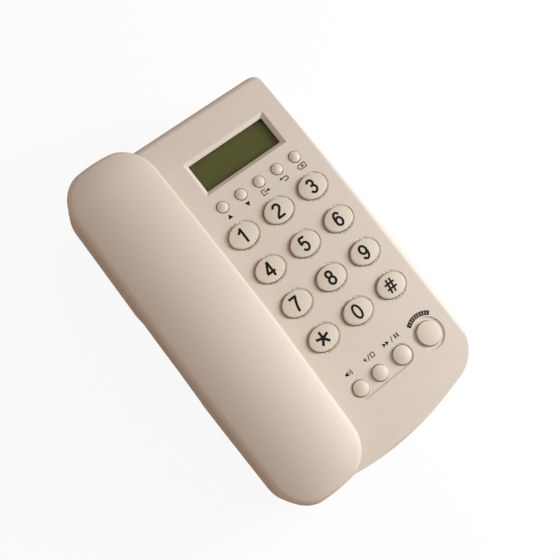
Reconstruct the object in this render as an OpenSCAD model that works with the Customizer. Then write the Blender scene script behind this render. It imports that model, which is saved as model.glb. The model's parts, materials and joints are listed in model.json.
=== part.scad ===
// Corded desk telephone with a caller display: a wedge-shaped base that carries the
// keypad and the display, and a handset that rests in a cradle on its left.
// Millimetres. +X is to the user's right, +Y to the rear and +Z up. The origin is the
// middle of the footprint, on the table.

/* [Base] */
// Width over the handset's left side and the base's right side
overall_w = 124.8; // [123:0.2:150]
// Length of the base, front to rear
base_len = 186; // [184:1:220]
// How far the handset's left side stands out past the base's left side
handset_overhang = 2.6; // [1:0.2:4]
// How much each side of the base draws in between its widest place and the rear
side_draw = 4; // [1:0.2:5]
// How much each side draws in between its widest place and the front corner
front_draw = 2.2; // [0.4:0.2:3]
// Distance of the base's widest place behind its front edge
widest_from_front = 62; // [50:1:75]
// How far the front edge bows out in the middle
front_bow = 12; // [4:0.5:14]
// Radius of the bow in the front edge
front_bow_r = 150; // [100:5:180]
// Radius of the two front corners, in plan
front_corner_r = 22; // [8:1:24]
// Radius of the two rear corners, in plan
rear_corner_r = 6; // [4:0.5:10]
// How far the rear edge bows out in the middle
rear_bow = 1.2; // [0.4:0.2:3]
// Rounding of the base's top edges
edge_r = 4; // [2.5:0.25:5]
// Wall thickness of the base's two casings
wall = 2.2; // [1.8:0.1:2.6]
// Slope of the keypad's face, in degrees
face_slope = 6.5; // [6:0.25:7.5]
// Height of the face at its front edge
face_front_h = 21.5; // [21:0.5:26]
// Height of the seam between the two casings
seam_z = 8; // [7:0.25:8.5]
// Groove left open at the seam
seam_gap = 0.3; // [0.1:0.05:0.6]

/* [Cradle] */
// Slope of the cradle and of the handset in it, in degrees
cradle_slope = 8.5; // [8:0.25:9]
// Depth of the cradle's deck below the face, half way along
cradle_depth = 7.3; // [6.6:0.1:7.6]
// Clearance between the handset and the cradle's walls
cradle_gap = 0.9; // [0.6:0.1:1.4]
// Distance of the ear cup's and of the mouth cup's middle from the handset's end
cup_from_end = 30.8; // [28.8:0.2:33.8]
// Depth of the two cups in the deck
cup_depth = 3.2; // [2.4:0.1:3.4]
// Clearance around the ear and mouth caps in their cups
cup_gap = 1.2; // [0.8:0.1:1.6]
// Clearance under the caps, where the handset rests
rest_gap = 0.3; // [0.2:0.05:0.4]
// Travel of the hook plunger
plunger_travel = 4; // [2.5:0.25:4.5]
// Width of the hook plunger
plunger_w = 12; // [9:0.5:14]
// Depth of the hook plunger, along the cradle
plunger_d = 6; // [5:0.25:7]
// Distance of the hook plunger's middle from the ear cup's edge
plunger_from_cup = 7.3; // [6.3:0.1:7.8]

/* [Handset] */
// Length of the handset
handset_len = 181.6; // [178:0.2:182.4]
// How far the middle of the handset lies behind the middle of the base
handset_back = 3; // [2:0.1:3.1]
// Width of the handset
handset_w = 47.6; // [46:0.2:50]
// How much each side of the handset draws in towards its mouth end
mouth_end_draw = 1.8; // [0.4:0.1:2.4]
// How much each side of the handset draws in towards its ear end
ear_end_draw = 1.6; // [0.4:0.1:3]
// Distance of the handset's widest place in front of its middle
handset_widest = 15; // [0:1:30]
// How far each end of the handset bows out
end_bow = 2.5; // [1:0.25:5]
// Radius of the handset's corners, in plan
handset_corner_r = 17; // [8:0.5:18]
// Height of the handset's back above the deck, half way along
handset_top = 31; // [30:0.5:35]
// How much lower its back is at the ends than half way along
handset_crown = 3.2; // [1:0.2:4]
// Rounding of the back into the two ends
end_r = 9; // [6:0.5:10]
// How much lower the back's slopes end at its sides than they would meet in the middle
back_fall = 5.2; // [3:0.2:7]
// Radius of the back's crown, across
back_r = 72; // [50:2:80]
// Rounding of the back into the two sides
shoulder_r = 4; // [2.5:0.25:6]
// Height of the seam between the handset's two shells, above the deck
handset_seam = 12.6; // [12:0.1:14]
// Gap between the two shells at the seam
handset_seam_gap = 0.2; // [0.1:0.05:0.4]
// Height of the grip's underside above the deck
grip_rise = 8.2; // [6:0.2:8.6]
// How far the end blocks reach past the hook plunger, towards the grip
block_past_plunger = 2; // [1:0.1:3]
// Length of each slope between the grip and the end blocks
grip_slope_len = 8; // [6:0.5:10]
// Gap between the end blocks' underside and the deck
underside_gap = 0.8; // [0.5:0.1:1.2]
// Wall thickness of the handset's shells
shell_wall = 2; // [1.6:0.1:2.4]
// Radius of the ear cap and of the mouth cap
cap_r = 18.5; // [17:0.25:19]
// Radius of each sound hole
sound_hole_r = 0.9; // [0.6:0.05:1.2]

/* [Keypad] */
// Distance between the keypad and the handset
keypad_to_handset = 8.7; // [8:0.1:10]
// Distance between the keypad and the base's right side
keypad_to_side = 10.1; // [9:0.1:11.5]
// Distance between two number keys, across the face
key_web_x = 6.1; // [5:0.1:7]
// Distance between two number keys, along the face
key_web_y = 8.4; // [7:0.1:9]
// Distance of the display's middle from the rear edge
window_to_rear = 29.35; // [28:0.05:31]
// Distance of the bottom row of buttons from the front edge
row_to_front = 31.05; // [29:0.05:32]
// Distance between the middles of the last row of keys and of the bottom row
keys_to_row = 29.4; // [28:0.1:31]
// How far the number keys stand out of the face
key_rise = 1.9; // [1.8:0.1:3]
// Width of the shallow dish around each number key
key_dish = 0.9; // [0.5:0.1:1.1]
// Clearance between a key or a button and its hole
key_gap = 0.4; // [0.25:0.05:0.5]
// How far a key's flange reaches past its hole, under the face
flange_reach = 0.9; // [0.6:0.1:1.1]
// Thickness of a key's flange
flange_t = 1; // [0.8:0.1:1.2]
// Clearance between a key's flange and the face's underside
flange_gap = 0.25; // [0.15:0.05:0.3]
// Travel of the number keys
key_travel = 1.5; // [1:0.1:1.6]

/* [Buttons] */
// Distance between two of the five small buttons under the display
small_web = 5.6; // [5:0.1:6.4]
// How much shorter the row of small buttons is than the keypad, at each end
small_inset = 4; // [3:0.1:5]
// Distance between the middles of the first row of keys and of the small buttons
keys_to_small = 17.2; // [16.4:0.1:17.8]
// Shift of the row of small buttons to the right
small_shift = 1.5; // [0.5:0.1:2]
// How far the buttons stand out of the face
button_rise = 1.3; // [1.2:0.1:2]
// Travel of the buttons
button_travel = 1.1; // [0.8:0.1:1.1]
// How much narrower than a number key the volume and the flash button are
function_less = 7.6; // [7.2:0.1:8.4]
// How much narrower than a number key the redial button is
redial_less = 6; // [5.8:0.1:6.8]
// How much narrower than a number key the speaker button is
speaker_less = 3.2; // [2.8:0.1:4.4]
// Distance between the volume and the flash button
volume_to_flash = 4.3; // [3.8:0.1:4.8]
// Distance between the flash and the redial button
flash_to_redial = 5.5; // [5:0.1:6]
// Distance between the redial and the speaker button
redial_to_speaker = 6.6; // [6:0.1:7]
// Shift of the bottom row to the right
row_shift = 0.9; // [0.5:0.1:1.3]
// Width of the round dish around the speaker button
dish_rim = 2.3; // [1.6:0.1:2.6]
// Width of the long recess around the other three buttons
panel_rim = 1; // [0.8:0.1:1.3]
// Depth of the shallow recesses in the face
recess = 0.6; // [0.3:0.1:0.8]

/* [Display] */
// How much narrower the display's window is than the keypad, at each side
window_inset = 6.55; // [6.2:0.05:8]
// Height of the display's window, along the face
window_d = 15.6; // [12:0.1:16]
// Distance between the middles of the small buttons and of the window
small_to_window = 18.4; // [18:0.1:19]
// Shift of the window's middle to the right
window_shift = 0.9; // [0.4:0.1:1.4]
// Width of the sloping border around the window
border_w = 2; // [1:0.1:2.2]
// Straight edge left below the sloping border
border_lip = 0.5; // [0.3:0.1:1]
// Thickness of the clear window
lens_t = 1.2; // [0.8:0.1:1.6]
// How far the clear window reaches under the face on each side
lens_ledge = 1.5; // [1:0.1:2]
// Thickness of the liquid crystal panel
panel_t = 2.4; // [1.8:0.1:2.8]

/* [Inside] */
// Depth of the circuit board's top below the face
board_depth = 9; // [8.8:0.1:9.4]
// Thickness of the circuit board
board_t = 1.6; // [1:0.1:1.6]
// Thickness of the rubber mat
mat_t = 1; // [0.8:0.1:1.2]
// Clearance between the rubber domes and the keys
dome_gap = 0.15; // [0.1:0.05:0.25]
// Radius of a screw's shank
screw_r = 1.45; // [1.2:0.05:1.5]
// Clearance around a screw's shank
screw_gap = 0.06; // [0.05:0.01:0.1]
// Radius of a screw's head
screw_head_r = 2.6; // [2.3:0.1:2.7]
// Height of a screw's head
screw_head_h = 1.6; // [1.2:0.1:1.8]
// How far the rubber feet stand out under the casing
foot_h = 2; // [1.5:0.1:2.4]
// Radius of a rubber foot
foot_r = 6; // [4:0.5:7]
// Depth of the seats that the rubber feet are glued in
foot_seat = 1.2; // [0.8:0.1:1.2]
// Distance of the rubber feet from the base's sides
foot_from_side = 15; // [14:0.5:18]
// Distance of the front feet from the front edge
foot_from_front = 27; // [26:0.5:30]
// Distance of the rear feet from the rear edge
foot_from_rear = 24; // [22:0.5:27]
// Radius of the loudspeaker in the base
loudspeaker_r = 19; // [16:0.5:19.5]
// Height of the loudspeaker in the base
loudspeaker_h = 9.5; // [8:0.25:10]
// Width of each slot under the loudspeaker
slot_w = 1.6; // [1:0.1:2]
// Distance between the two keyholes for hanging on a wall
keyhole_pitch = 83; // [78:0.5:86]
// Thickness of the ballast plate
ballast_t = 4; // [2:0.5:5]

/* [Sockets] */
// Width of the line socket's opening
line_socket_w = 9.7; // [9.6:0.05:9.8]
// Width of the two handset cord sockets' openings
cord_socket_w = 7.7; // [7.6:0.05:7.8]
// Height of every socket's opening
socket_h = 6.7; // [6.6:0.05:6.8]
// Depth of every socket's opening
socket_depth = 11; // [10:0.5:11.5]
// Wall around a socket's opening
socket_wall = 1.6; // [1.3:0.1:1.7]

/* [Hidden] */
$fn = 64;

cream = "#D9CBBD";
key_cream = "#D6CDBE";
underside_cream = "#C9BBAC";
board_green = "#2F6B45";
mat_grey = "#8C8F92";
lcd_olive = "#4B4D2D";
clear_tint = [0.8, 0.85, 0.82, 0.35];
steel = "#A7AAAD";
black = "#26272A";

// Cuts run this far past the faces that they open
over = 1;
// Arcs in outlines are drawn in steps of about this many degrees
arc_step = 7.5;
// A wide arc's steps are no longer than this many millimetres
longest_step = 9;
chord_turn = longest_step * 180 / PI;
// Sides of an oval key
oval_sides = 48;
// Clearance around pieces that only drop into their place
seat_gap = 0.15;

// ---- levels and places of the base ----
half_w = overall_w / 2;
half_len = base_len / 2;
base_right = half_w;
base_left = -half_w + handset_overhang;
base_mid = (base_left + base_right) / 2;
base_half = (base_right - base_left) / 2;
face_rise = tan(face_slope);
face_mid_h = face_front_h + half_len * face_rise;
deck_z = face_mid_h - cradle_depth;
handset_x = -half_w + handset_w / 2;
half_handset = handset_len / 2;
cup_from_middle = half_handset - cup_from_end;
plunger_y = cup_from_middle - cap_r - cup_gap - plunger_from_cup;
grip_len = 2 * (plunger_y - plunger_d / 2 - block_past_plunger - grip_slope_len);
hook_switch_d = 9;
// The loudspeaker lies half way between the mouth cup and the hook switch
loudspeaker_y = handset_back
    + (cap_r + cup_gap - cup_from_middle + plunger_y - hook_switch_d / 2) / 2;
base_socket_y = loudspeaker_y - loudspeaker_r - 7;
floor_top = foot_h + wall;
sky = 3 * face_mid_h;
far = 2 * base_len;

// ---- the keypad, fitted between the handset and the right side, front and rear ----
keypad_w = overall_w - handset_w - keypad_to_handset - keypad_to_side;
key_w = (keypad_w - 2 * key_web_x) / 3;
key_pitch_x = key_w + key_web_x;
key_rows_len = base_len / cos(face_slope) - row_to_front - keys_to_row - keys_to_small
    - small_to_window - window_to_rear;
key_pitch_y = key_rows_len / 3;
key_d = key_pitch_y - key_web_y;
bottom_y = 2 * key_pitch_y + keys_to_row;
small_y = key_pitch_y + keys_to_small;
window_y = small_y + small_to_window;
window_w = keypad_w - 2 * window_inset;
small_r = (keypad_w - 2 * small_inset - 4 * small_web) / 10;
small_pitch = 2 * small_r + small_web;
function_r = (key_w - function_less) / 2;
redial_r = (key_w - redial_less) / 2;
speaker_button_r = (key_w - speaker_less) / 2;
speaker_dish_r = speaker_button_r + dish_rim;
panel_r = redial_r + panel_rim;
// The bottom row's four middles, across the face, from the middle of the volume button
flash_on = 2 * function_r + volume_to_flash;
redial_on = flash_on + function_r + flash_to_redial + redial_r;
speaker_on = redial_on + redial_r + redial_to_speaker + speaker_button_r;
row_left = row_shift - (speaker_on + speaker_button_r - function_r) / 2;
keypad_x = base_right - keypad_to_side - keypad_w / 2;
keypad_y = (row_to_front + bottom_y) * cos(face_slope) - half_len;
keypad_z = face_mid_h + keypad_y * face_rise;

// ---- outlines: corners and their radii, anticlockwise ----
// How far a corner's sharp tip stands out past its arc, for sides that fall by drop over half
function tip(r, drop, half) = r * (norm([drop, half]) / half - 1);
tip_y = -half_len - tip(front_bow_r, front_bow, base_half - front_draw);
side_r = 4 * base_half + far;
rear_half = base_half - side_draw;
// The rear's bow spans half of its width
rear_bow_r = rear_half / 2 * rear_half / rear_bow;
rear_y = half_len + tip(rear_bow_r, rear_bow, rear_half);
BASE_CORNERS = [
    [base_mid, tip_y],
    [base_right - front_draw, tip_y + front_bow],
    [base_right, widest_from_front - half_len],
    [base_mid + rear_half, rear_y - rear_bow],
    [base_mid, rear_y],
    [base_mid - rear_half, rear_y - rear_bow],
    [base_left, widest_from_front - half_len],
    [base_left + front_draw, tip_y + front_bow]
];
BASE_RADII = [
    front_bow_r, front_corner_r, side_r, rear_corner_r, rear_bow_r, rear_corner_r,
    side_r, front_corner_r
];

mouth_half = handset_w / 2 - mouth_end_draw;
ear_half = handset_w / 2 - ear_end_draw;
// The bow of each end spans what its two corners leave
mouth_bow_r = (mouth_half - handset_corner_r) * mouth_half / end_bow;
ear_bow_r = (ear_half - handset_corner_r) * ear_half / end_bow;
mouth_y = -half_handset - tip(mouth_bow_r, end_bow, mouth_half);
ear_y = half_handset + tip(ear_bow_r, end_bow, ear_half);
bulge_r = 9 * handset_len;
HANDSET_CORNERS = [
    [0, mouth_y],
    [mouth_half, mouth_y + end_bow],
    [handset_w / 2, -handset_widest],
    [ear_half, ear_y - end_bow],
    [0, ear_y],
    [-ear_half, ear_y - end_bow],
    [-handset_w / 2, -handset_widest],
    [-mouth_half, mouth_y + end_bow]
];
HANDSET_RADII = [
    mouth_bow_r, handset_corner_r, bulge_r, handset_corner_r,
    ear_bow_r, handset_corner_r, bulge_r, handset_corner_r
];

function unit(v) = v / norm(v);
function to_last(p, i) = unit(p[(i + len(p) - 1) % len(p)] - p[i]);
function to_next(p, i) = unit(p[(i + 1) % len(p)] - p[i]);
// Half the angle inside a corner, and the direction that halves it
function half_angle(p, i) = acos(to_last(p, i) * to_next(p, i)) / 2;
function inward(p, i) = unit(to_last(p, i) + to_next(p, i));
// A convex outline with every side moved inwards
function inset(p, d) = [
    for (i = [0 : len(p) - 1]) p[i] + inward(p, i) * d / sin(half_angle(p, i))
];
// A convex outline with each corner rounded to its own radius
function rounded(p, radii) = [
    for (i = [0 : len(p) - 1])
        let (
            half = half_angle(p, i),
            r = radii[i],
            centre = p[i] + inward(p, i) * r / sin(half),
            start = p[i] + to_last(p, i) * r / tan(half) - centre,
            from = atan2(start[1], start[0]),
            turn = 180 - 2 * half,
            steps = max(2, ceil(turn / arc_step), ceil(turn * r / chord_turn))
        )
        for (k = [0 : steps])
            centre + r * [cos(from + turn * k / steps), sin(from + turn * k / steps)]
];
function less(radii, d) = [for (r = radii) max(r - d, 0.4)];
function base_outline(d) = rounded(inset(BASE_CORNERS, d), less(BASE_RADII, d));
function handset_outline(d) = rounded(inset(HANDSET_CORNERS, d), less(HANDSET_RADII, d));

// ---- frames ----
// The face: X right, Y up the slope and Z out of it, from the middle key
module on_face() {
    translate([keypad_x, keypad_y, keypad_z])
        rotate([face_slope, 0, 0]) children();
}
// The cradle: from the deck, under the middle of the handset
module on_deck() {
    translate([handset_x, 0, deck_z])
        rotate([cradle_slope, 0, 0]) translate([0, handset_back]) children();
}
// A profile drawn in Y and Z, extruded along X about the middle
module along_x(length) {
    rotate([90, 0, 90]) translate([0, 0, -length / 2]) linear_extrude(length) children();
}
// A profile drawn in X and Z, extruded along Y about the middle
module along_y(length) {
    rotate([90, 0, 0]) translate([0, 0, -length / 2]) linear_extrude(length) children();
}
// A flat shape raised between two heights
module between(low, high) {
    translate([0, 0, low]) linear_extrude(high - low) children();
}
module oval(w, d) {
    polygon([
        for (i = [0 : oval_sides - 1])
            [w / 2 * cos(360 * i / oval_sides), d / 2 * sin(360 * i / oval_sides)]
    ]);
}
module rectangle(w, d, r = 0) {
    if (r > 0)
        polygon(rounded([[-w, -d] / 2, [w, -d] / 2, [w, d] / 2, [-w, d] / 2], [r, r, r, r]));
    else
        square([w, d], center = true);
}
module disc(r, low, high) {
    translate([0, 0, low]) cylinder(r = r, h = high - low);
}

// ---- the base's body ----
// The wedge with its rounded top edges, with every face moved inwards by d
module wedge(d) {
    rear_h = face_front_h + base_len * face_rise;
    intersection() {
        between(-over, sky) polygon(base_outline(d));
        along_x(far) polygon(rounded(
            inset([[-half_len, -far], [half_len, -far], [half_len, rear_h],
                [-half_len, face_front_h]], d),
            less([edge_r, edge_r, edge_r, edge_r], d)
        ));
        on_face() translate([base_mid - keypad_x, 0, 0]) along_y(far) polygon(rounded(
            [[d - base_half, -far], [base_half - d, -far], [base_half - d, -d],
                [d - base_half, -d]],
            less([edge_r, edge_r, edge_r, edge_r], d)
        ));
    }
}
// The hollow that the handset lies in, with every face moved outwards by d
module cradle_hollow(d) {
    on_deck() {
        between(-d, sky) {
            polygon(handset_outline(-cradle_gap - d));
            translate([-handset_w / 2, 0])
                square([handset_w, handset_len - 3 * handset_corner_r], center = true);
            for (side = [-1, 1])
                translate([-handset_w / 2, side * (half_handset - handset_w / 4)])
                    square([handset_w, handset_w / 2 + 2 * cradle_gap + 2 * d], center = true);
        }
        for (side = [-1, 1])
            translate([0, side * cup_from_middle])
                disc(cap_r + cup_gap + d, -cup_depth - d, over - d);
    }
}

// ---- screws and where they go ----
case_boss_r = screw_head_r + 1.5;
case_ledge_z = foot_h + screw_head_h + 1;
case_screw_reach = 9;
CASE_SCREWS = [
    [base_mid - 7, -half_len + 11],
    [base_right - 22, -half_len + 15],
    [base_right - 12, half_len - 9],
    [base_left + 11, half_len - 8],
    [base_left + 8, loudspeaker_y + loudspeaker_r + 5]
];
board_boss_r = 2.4;
board_screw_reach = 4.5;
BOARD_SCREWS = [
    for (side = [-1, 1])
        for (y = [key_pitch_y / 2, -bottom_y + 16]) [side * key_pitch_x / 2, y]
];
module board_screw_places() {
    on_face() for (p = BOARD_SCREWS) translate(p) children();
}
// A cross-head screw, head down, with its head's upper face at the origin
module screw(reach, head_r, head_h, shank_r) {
    difference() {
        union() {
            disc(head_r, -head_h, 0);
            disc(shank_r, 0, reach);
        }
        for (turn = [0, 90])
            rotate(turn)
                translate([0, 0, -head_h - over + head_h / 2])
                    linear_extrude(over) square([head_r * 1.2, head_r * 0.3], center = true);
    }
}

// ---- the keys and buttons ----
flange_low = -wall - flange_gap - flange_t;
function key_place(column, row) = [column * key_pitch_x, -row * key_pitch_y];
KEY_PLACES = [for (row = [-1 : 2]) for (column = [-1 : 1]) key_place(column, row)];
SMALL_PLACES = [for (i = [-2 : 2]) [small_shift + i * small_pitch, small_y]];
volume_at = [row_left, -bottom_y];
flash_at = [row_left + flash_on, -bottom_y];
redial_at = [row_left + redial_on, -bottom_y];
speaker_at = [row_left + speaker_on, -bottom_y];
// Each round button's place and radius
ROUND_BUTTONS = concat(
    [for (p = SMALL_PLACES) [p, small_r]],
    [[volume_at, function_r], [flash_at, function_r], [redial_at, redial_r],
        [speaker_at, speaker_button_r]]
);
module number_key(at) {
    color(key_cream) on_face() translate(at) {
        crown = key_rise - recess;
        between(flange_low, crown) oval(key_w, key_d);
        between(crown, key_rise) oval(key_w - 2 * recess, key_d - 2 * recess);
        reach = 2 * (key_gap + flange_reach);
        between(flange_low, flange_low + flange_t) oval(key_w + reach, key_d + reach);
    }
}
module round_button(at, r) {
    color(key_cream) on_face() translate(at) {
        crown = button_rise - recess;
        disc(r, flange_low, crown);
        translate([0, 0, crown]) cylinder(r1 = r, r2 = r - 2 * recess, h = recess);
        disc(r + key_gap + flange_reach, flange_low, flange_low + flange_t);
    }
}

module key_1() { number_key(KEY_PLACES[0]); }
module key_2() { number_key(KEY_PLACES[1]); }
module key_3() { number_key(KEY_PLACES[2]); }
module key_4() { number_key(KEY_PLACES[3]); }
module key_5() { number_key(KEY_PLACES[4]); }
module key_6() { number_key(KEY_PLACES[5]); }
module key_7() { number_key(KEY_PLACES[6]); }
module key_8() { number_key(KEY_PLACES[7]); }
module key_9() { number_key(KEY_PLACES[8]); }
module key_star() { number_key(KEY_PLACES[9]); }
module key_0() { number_key(KEY_PLACES[10]); }
module key_hash() { number_key(KEY_PLACES[11]); }
module button_up() { round_button(SMALL_PLACES[0], small_r); }
module button_down() { round_button(SMALL_PLACES[1], small_r); }
module button_out() { round_button(SMALL_PLACES[2], small_r); }
module button_back() { round_button(SMALL_PLACES[3], small_r); }
module button_delete() { round_button(SMALL_PLACES[4], small_r); }
module button_volume() { round_button(volume_at, function_r); }
module button_flash() { round_button(flash_at, function_r); }
module button_redial() { round_button(redial_at, redial_r); }
module button_speaker() { round_button(speaker_at, speaker_button_r); }

// ---- the display ----
lens_low = -wall - lens_t;
lcd_w = window_w + 3;
lcd_d = window_d + 4;
lcd_frame_wall = 1.4;
module at_window() {
    on_face() translate([window_shift, window_y]) children();
}
// Across a window of the given width: its border slopes down to just above the clear window
module border_profile(w) {
    low = border_lip - wall;
    reach = border_w * (over - low) / -low;
    polygon([[-w / 2, low], [w / 2, low], [w / 2 + reach, over], [-w / 2 - reach, over]]);
}
module display_window() {
    color(clear_tint) at_window()
        between(lens_low, -wall)
            rectangle(window_w + 2 * lens_ledge, window_d + 2 * lens_ledge, 1);
}
module lcd_panel() {
    color(lcd_olive) at_window()
        between(lens_low - seat_gap - panel_t, lens_low - seat_gap) rectangle(lcd_w, lcd_d);
}
module lcd_frame() {
    color(black) at_window() difference() {
        between(-board_depth, lens_low)
            rectangle(lcd_w + 2 * lcd_frame_wall, lcd_d + 2 * lcd_frame_wall, 1);
        between(lens_low - seat_gap - panel_t, sky)
            rectangle(lcd_w + 2 * seat_gap, lcd_d + 2 * seat_gap);
        between(-board_depth - over, sky) rectangle(window_w - 2, window_d - 2);
    }
}

// ---- the board and the mat ----
board_left = handset_x + handset_w / 2 + cradle_gap + wall + 1 - keypad_x;
board_right = base_right - keypad_x - wall - side_draw - 0.6;
board_front = -bottom_y - 10;
board_rear = window_y + 13.5;
mat_margin = 2;
mat_rear = small_y + 6;
module main_board() {
    color(board_green) on_face() difference() {
        between(-board_depth - board_t, -board_depth)
            translate([board_left, board_front])
                square([board_right - board_left, board_rear - board_front]);
        for (p = BOARD_SCREWS) translate(p) disc(screw_r + screw_gap, -far, 0);
    }
}
module keypad_mat() {
    dome_top = flange_low - dome_gap;
    color(mat_grey) on_face() difference() {
        union() {
            between(-board_depth, -board_depth + mat_t)
                translate([board_left + mat_margin, board_front + mat_margin])
                    square([board_right - board_left - 2 * mat_margin,
                        mat_rear - board_front - mat_margin]);
            for (p = KEY_PLACES) translate(p) disc(key_d / 3, -board_depth + mat_t, dome_top);
            for (b = ROUND_BUTTONS)
                translate(b[0]) disc(b[1] * 0.75, -board_depth + mat_t, dome_top);
        }
        for (p = BOARD_SCREWS) translate(p) disc(board_boss_r + 0.4, -far, 0);
    }
}

// ---- the sockets ----
// A socket block that opens towards -Y, with the middle of its mouth at the origin
module socket_block(opening_w) {
    depth = socket_depth + socket_wall;
    difference() {
        translate([0, depth / 2])
            between(-socket_h / 2 - socket_wall, socket_h / 2 + socket_wall)
                rectangle(opening_w + 2 * socket_wall, depth);
        translate([0, socket_depth / 2 - over / 2])
            between(-socket_h / 2, socket_h / 2) rectangle(opening_w, socket_depth + over);
    }
}
// The hole in a wall that the block's mouth shows in
module socket_hole(opening_w) {
    side = socket_wall + seat_gap;
    translate([0, socket_depth / 2])
        between(-socket_h / 2 - side, socket_h / 2 + side)
            rectangle(opening_w + 2 * side, 2 * socket_depth);
}
socket_inset = 0.3;
line_socket_x = keypad_x - 12;
line_socket_z = floor_top + 10.5;
module at_line_socket() {
    translate([line_socket_x, half_len - socket_inset, line_socket_z]) rotate(180) children();
}
base_socket_z = floor_top + socket_wall + socket_h / 2;
module at_base_socket() {
    translate([base_left + socket_inset, base_socket_y, base_socket_z]) rotate(-90) children();
}
handset_socket_z = underside_gap + shell_wall + socket_wall + socket_h / 2;
module at_handset_socket() {
    on_deck() translate([0, -half_handset + socket_inset, handset_socket_z]) children();
}
module line_socket() { color(black) at_line_socket() socket_block(line_socket_w); }
module base_cord_socket() { color(black) at_base_socket() socket_block(cord_socket_w); }
module handset_cord_socket() { color(black) at_handset_socket() socket_block(cord_socket_w); }

// ---- the hook ----
plunger_gap = 0.3;
plunger_rim = 1.6;
plunger_foot = -wall - plunger_travel - plunger_gap - 6;
hook_switch_h = 8;
hook_switch_w = 18;
module at_plunger() { on_deck() translate([0, plunger_y]) children(); }
module hook_plunger() {
    rim_top = -wall - plunger_travel - plunger_gap;
    color(key_cream) at_plunger() {
        between(rim_top - plunger_rim, underside_gap - rest_gap)
            rectangle(plunger_w - 2 * plunger_gap, plunger_d - 2 * plunger_gap, 1);
        between(rim_top - plunger_rim, rim_top)
            rectangle(plunger_w + 2 * plunger_rim, plunger_d + 2 * plunger_rim, 1);
        between(plunger_foot, rim_top - plunger_rim) rectangle(plunger_w / 2, plunger_d / 2);
    }
}
module hook_switch() {
    top = plunger_foot - plunger_gap;
    color(black) at_plunger() {
        between(top - hook_switch_h, top - 1) rectangle(hook_switch_w, hook_switch_d);
        between(top - 1, top) rectangle(plunger_w / 2, plunger_d / 2 + 1);
    }
}

// ---- the loudspeaker ----
loudspeaker_x = base_left + loudspeaker_r + 6.5;
clamp_t = 1.2;
clamp_w = 8;
clamp_post_r = 3;
clamp_post_y = loudspeaker_r + clamp_post_r + 0.5;
clamp_screw_reach = 5;
// The clamp lies across the loudspeaker, turned away from the casing's screw
clamp_turn = -45;
magnet_h = loudspeaker_h * 0.4;
module at_loudspeaker() { translate([loudspeaker_x, loudspeaker_y, floor_top]) children(); }
module at_clamp_ends() {
    at_loudspeaker() rotate(clamp_turn)
        for (side = [-1, 1]) translate([0, side * clamp_post_y]) children();
}
module loudspeaker() {
    cone_h = loudspeaker_h - magnet_h - 2;
    color(steel) at_loudspeaker() {
        disc(loudspeaker_r, 0, 2);
        translate([0, 0, 2])
            cylinder(r1 = loudspeaker_r - 1.5, r2 = loudspeaker_r / 2, h = cone_h);
        disc(loudspeaker_r / 2, 2 + cone_h, loudspeaker_h);
    }
}
module loudspeaker_clamp() {
    color(steel) difference() {
        at_loudspeaker() rotate(clamp_turn)
            between(loudspeaker_h, loudspeaker_h + clamp_t)
                rectangle(clamp_w, 2 * clamp_post_y + clamp_w, clamp_w / 2 - 0.1);
        at_clamp_ends() disc(screw_r + screw_gap, 0, far);
    }
}
module clamp_screws() {
    color(steel) at_clamp_ends() translate([0, 0, loudspeaker_h + clamp_t])
        rotate([180, 0, 0]) screw(clamp_screw_reach + clamp_t, screw_head_r, 1, screw_r);
}

// ---- weight, feet and keyholes ----
ballast_w = 48;
ballast_d = 40;
peg_r = 2;
foot_pad = 1.5;
ballast_x = keypad_x + 5;
ballast_y = foot_from_front - half_len + foot_r + foot_pad + 1 + ballast_d / 2;
module ballast_plate() {
    color(steel) translate([ballast_x, ballast_y]) difference() {
        between(floor_top, floor_top + ballast_t) rectangle(ballast_w, ballast_d, 3);
        for (side = [-1, 1])
            translate([side * ballast_w / 3, 0]) disc(peg_r + seat_gap, 0, far);
    }
}
FEET = [
    for (y = [foot_from_front - half_len, half_len - foot_from_rear])
        for (x = [base_left + foot_from_side, base_right - foot_from_side]) [x, y]
];
module rubber_feet() {
    color(black) for (p = FEET) translate(p) {
        disc(foot_r, 0.5, foot_h + foot_seat);
        cylinder(r1 = foot_r - 0.5, r2 = foot_r, h = 0.5);
    }
}
keyhole_x = base_mid - 4;
keyhole_entry_r = 4.4;
keyhole_slot_r = 2.3;
keyhole_run = 8;
module keyhole() {
    disc(keyhole_entry_r, 0, floor_top + over);
    disc_run = [2 * keyhole_slot_r, keyhole_run];
    translate([-keyhole_slot_r, 0]) between(0, floor_top + over) square(disc_run);
    translate([0, keyhole_run]) disc(keyhole_slot_r, 0, floor_top + over);
}

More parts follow.
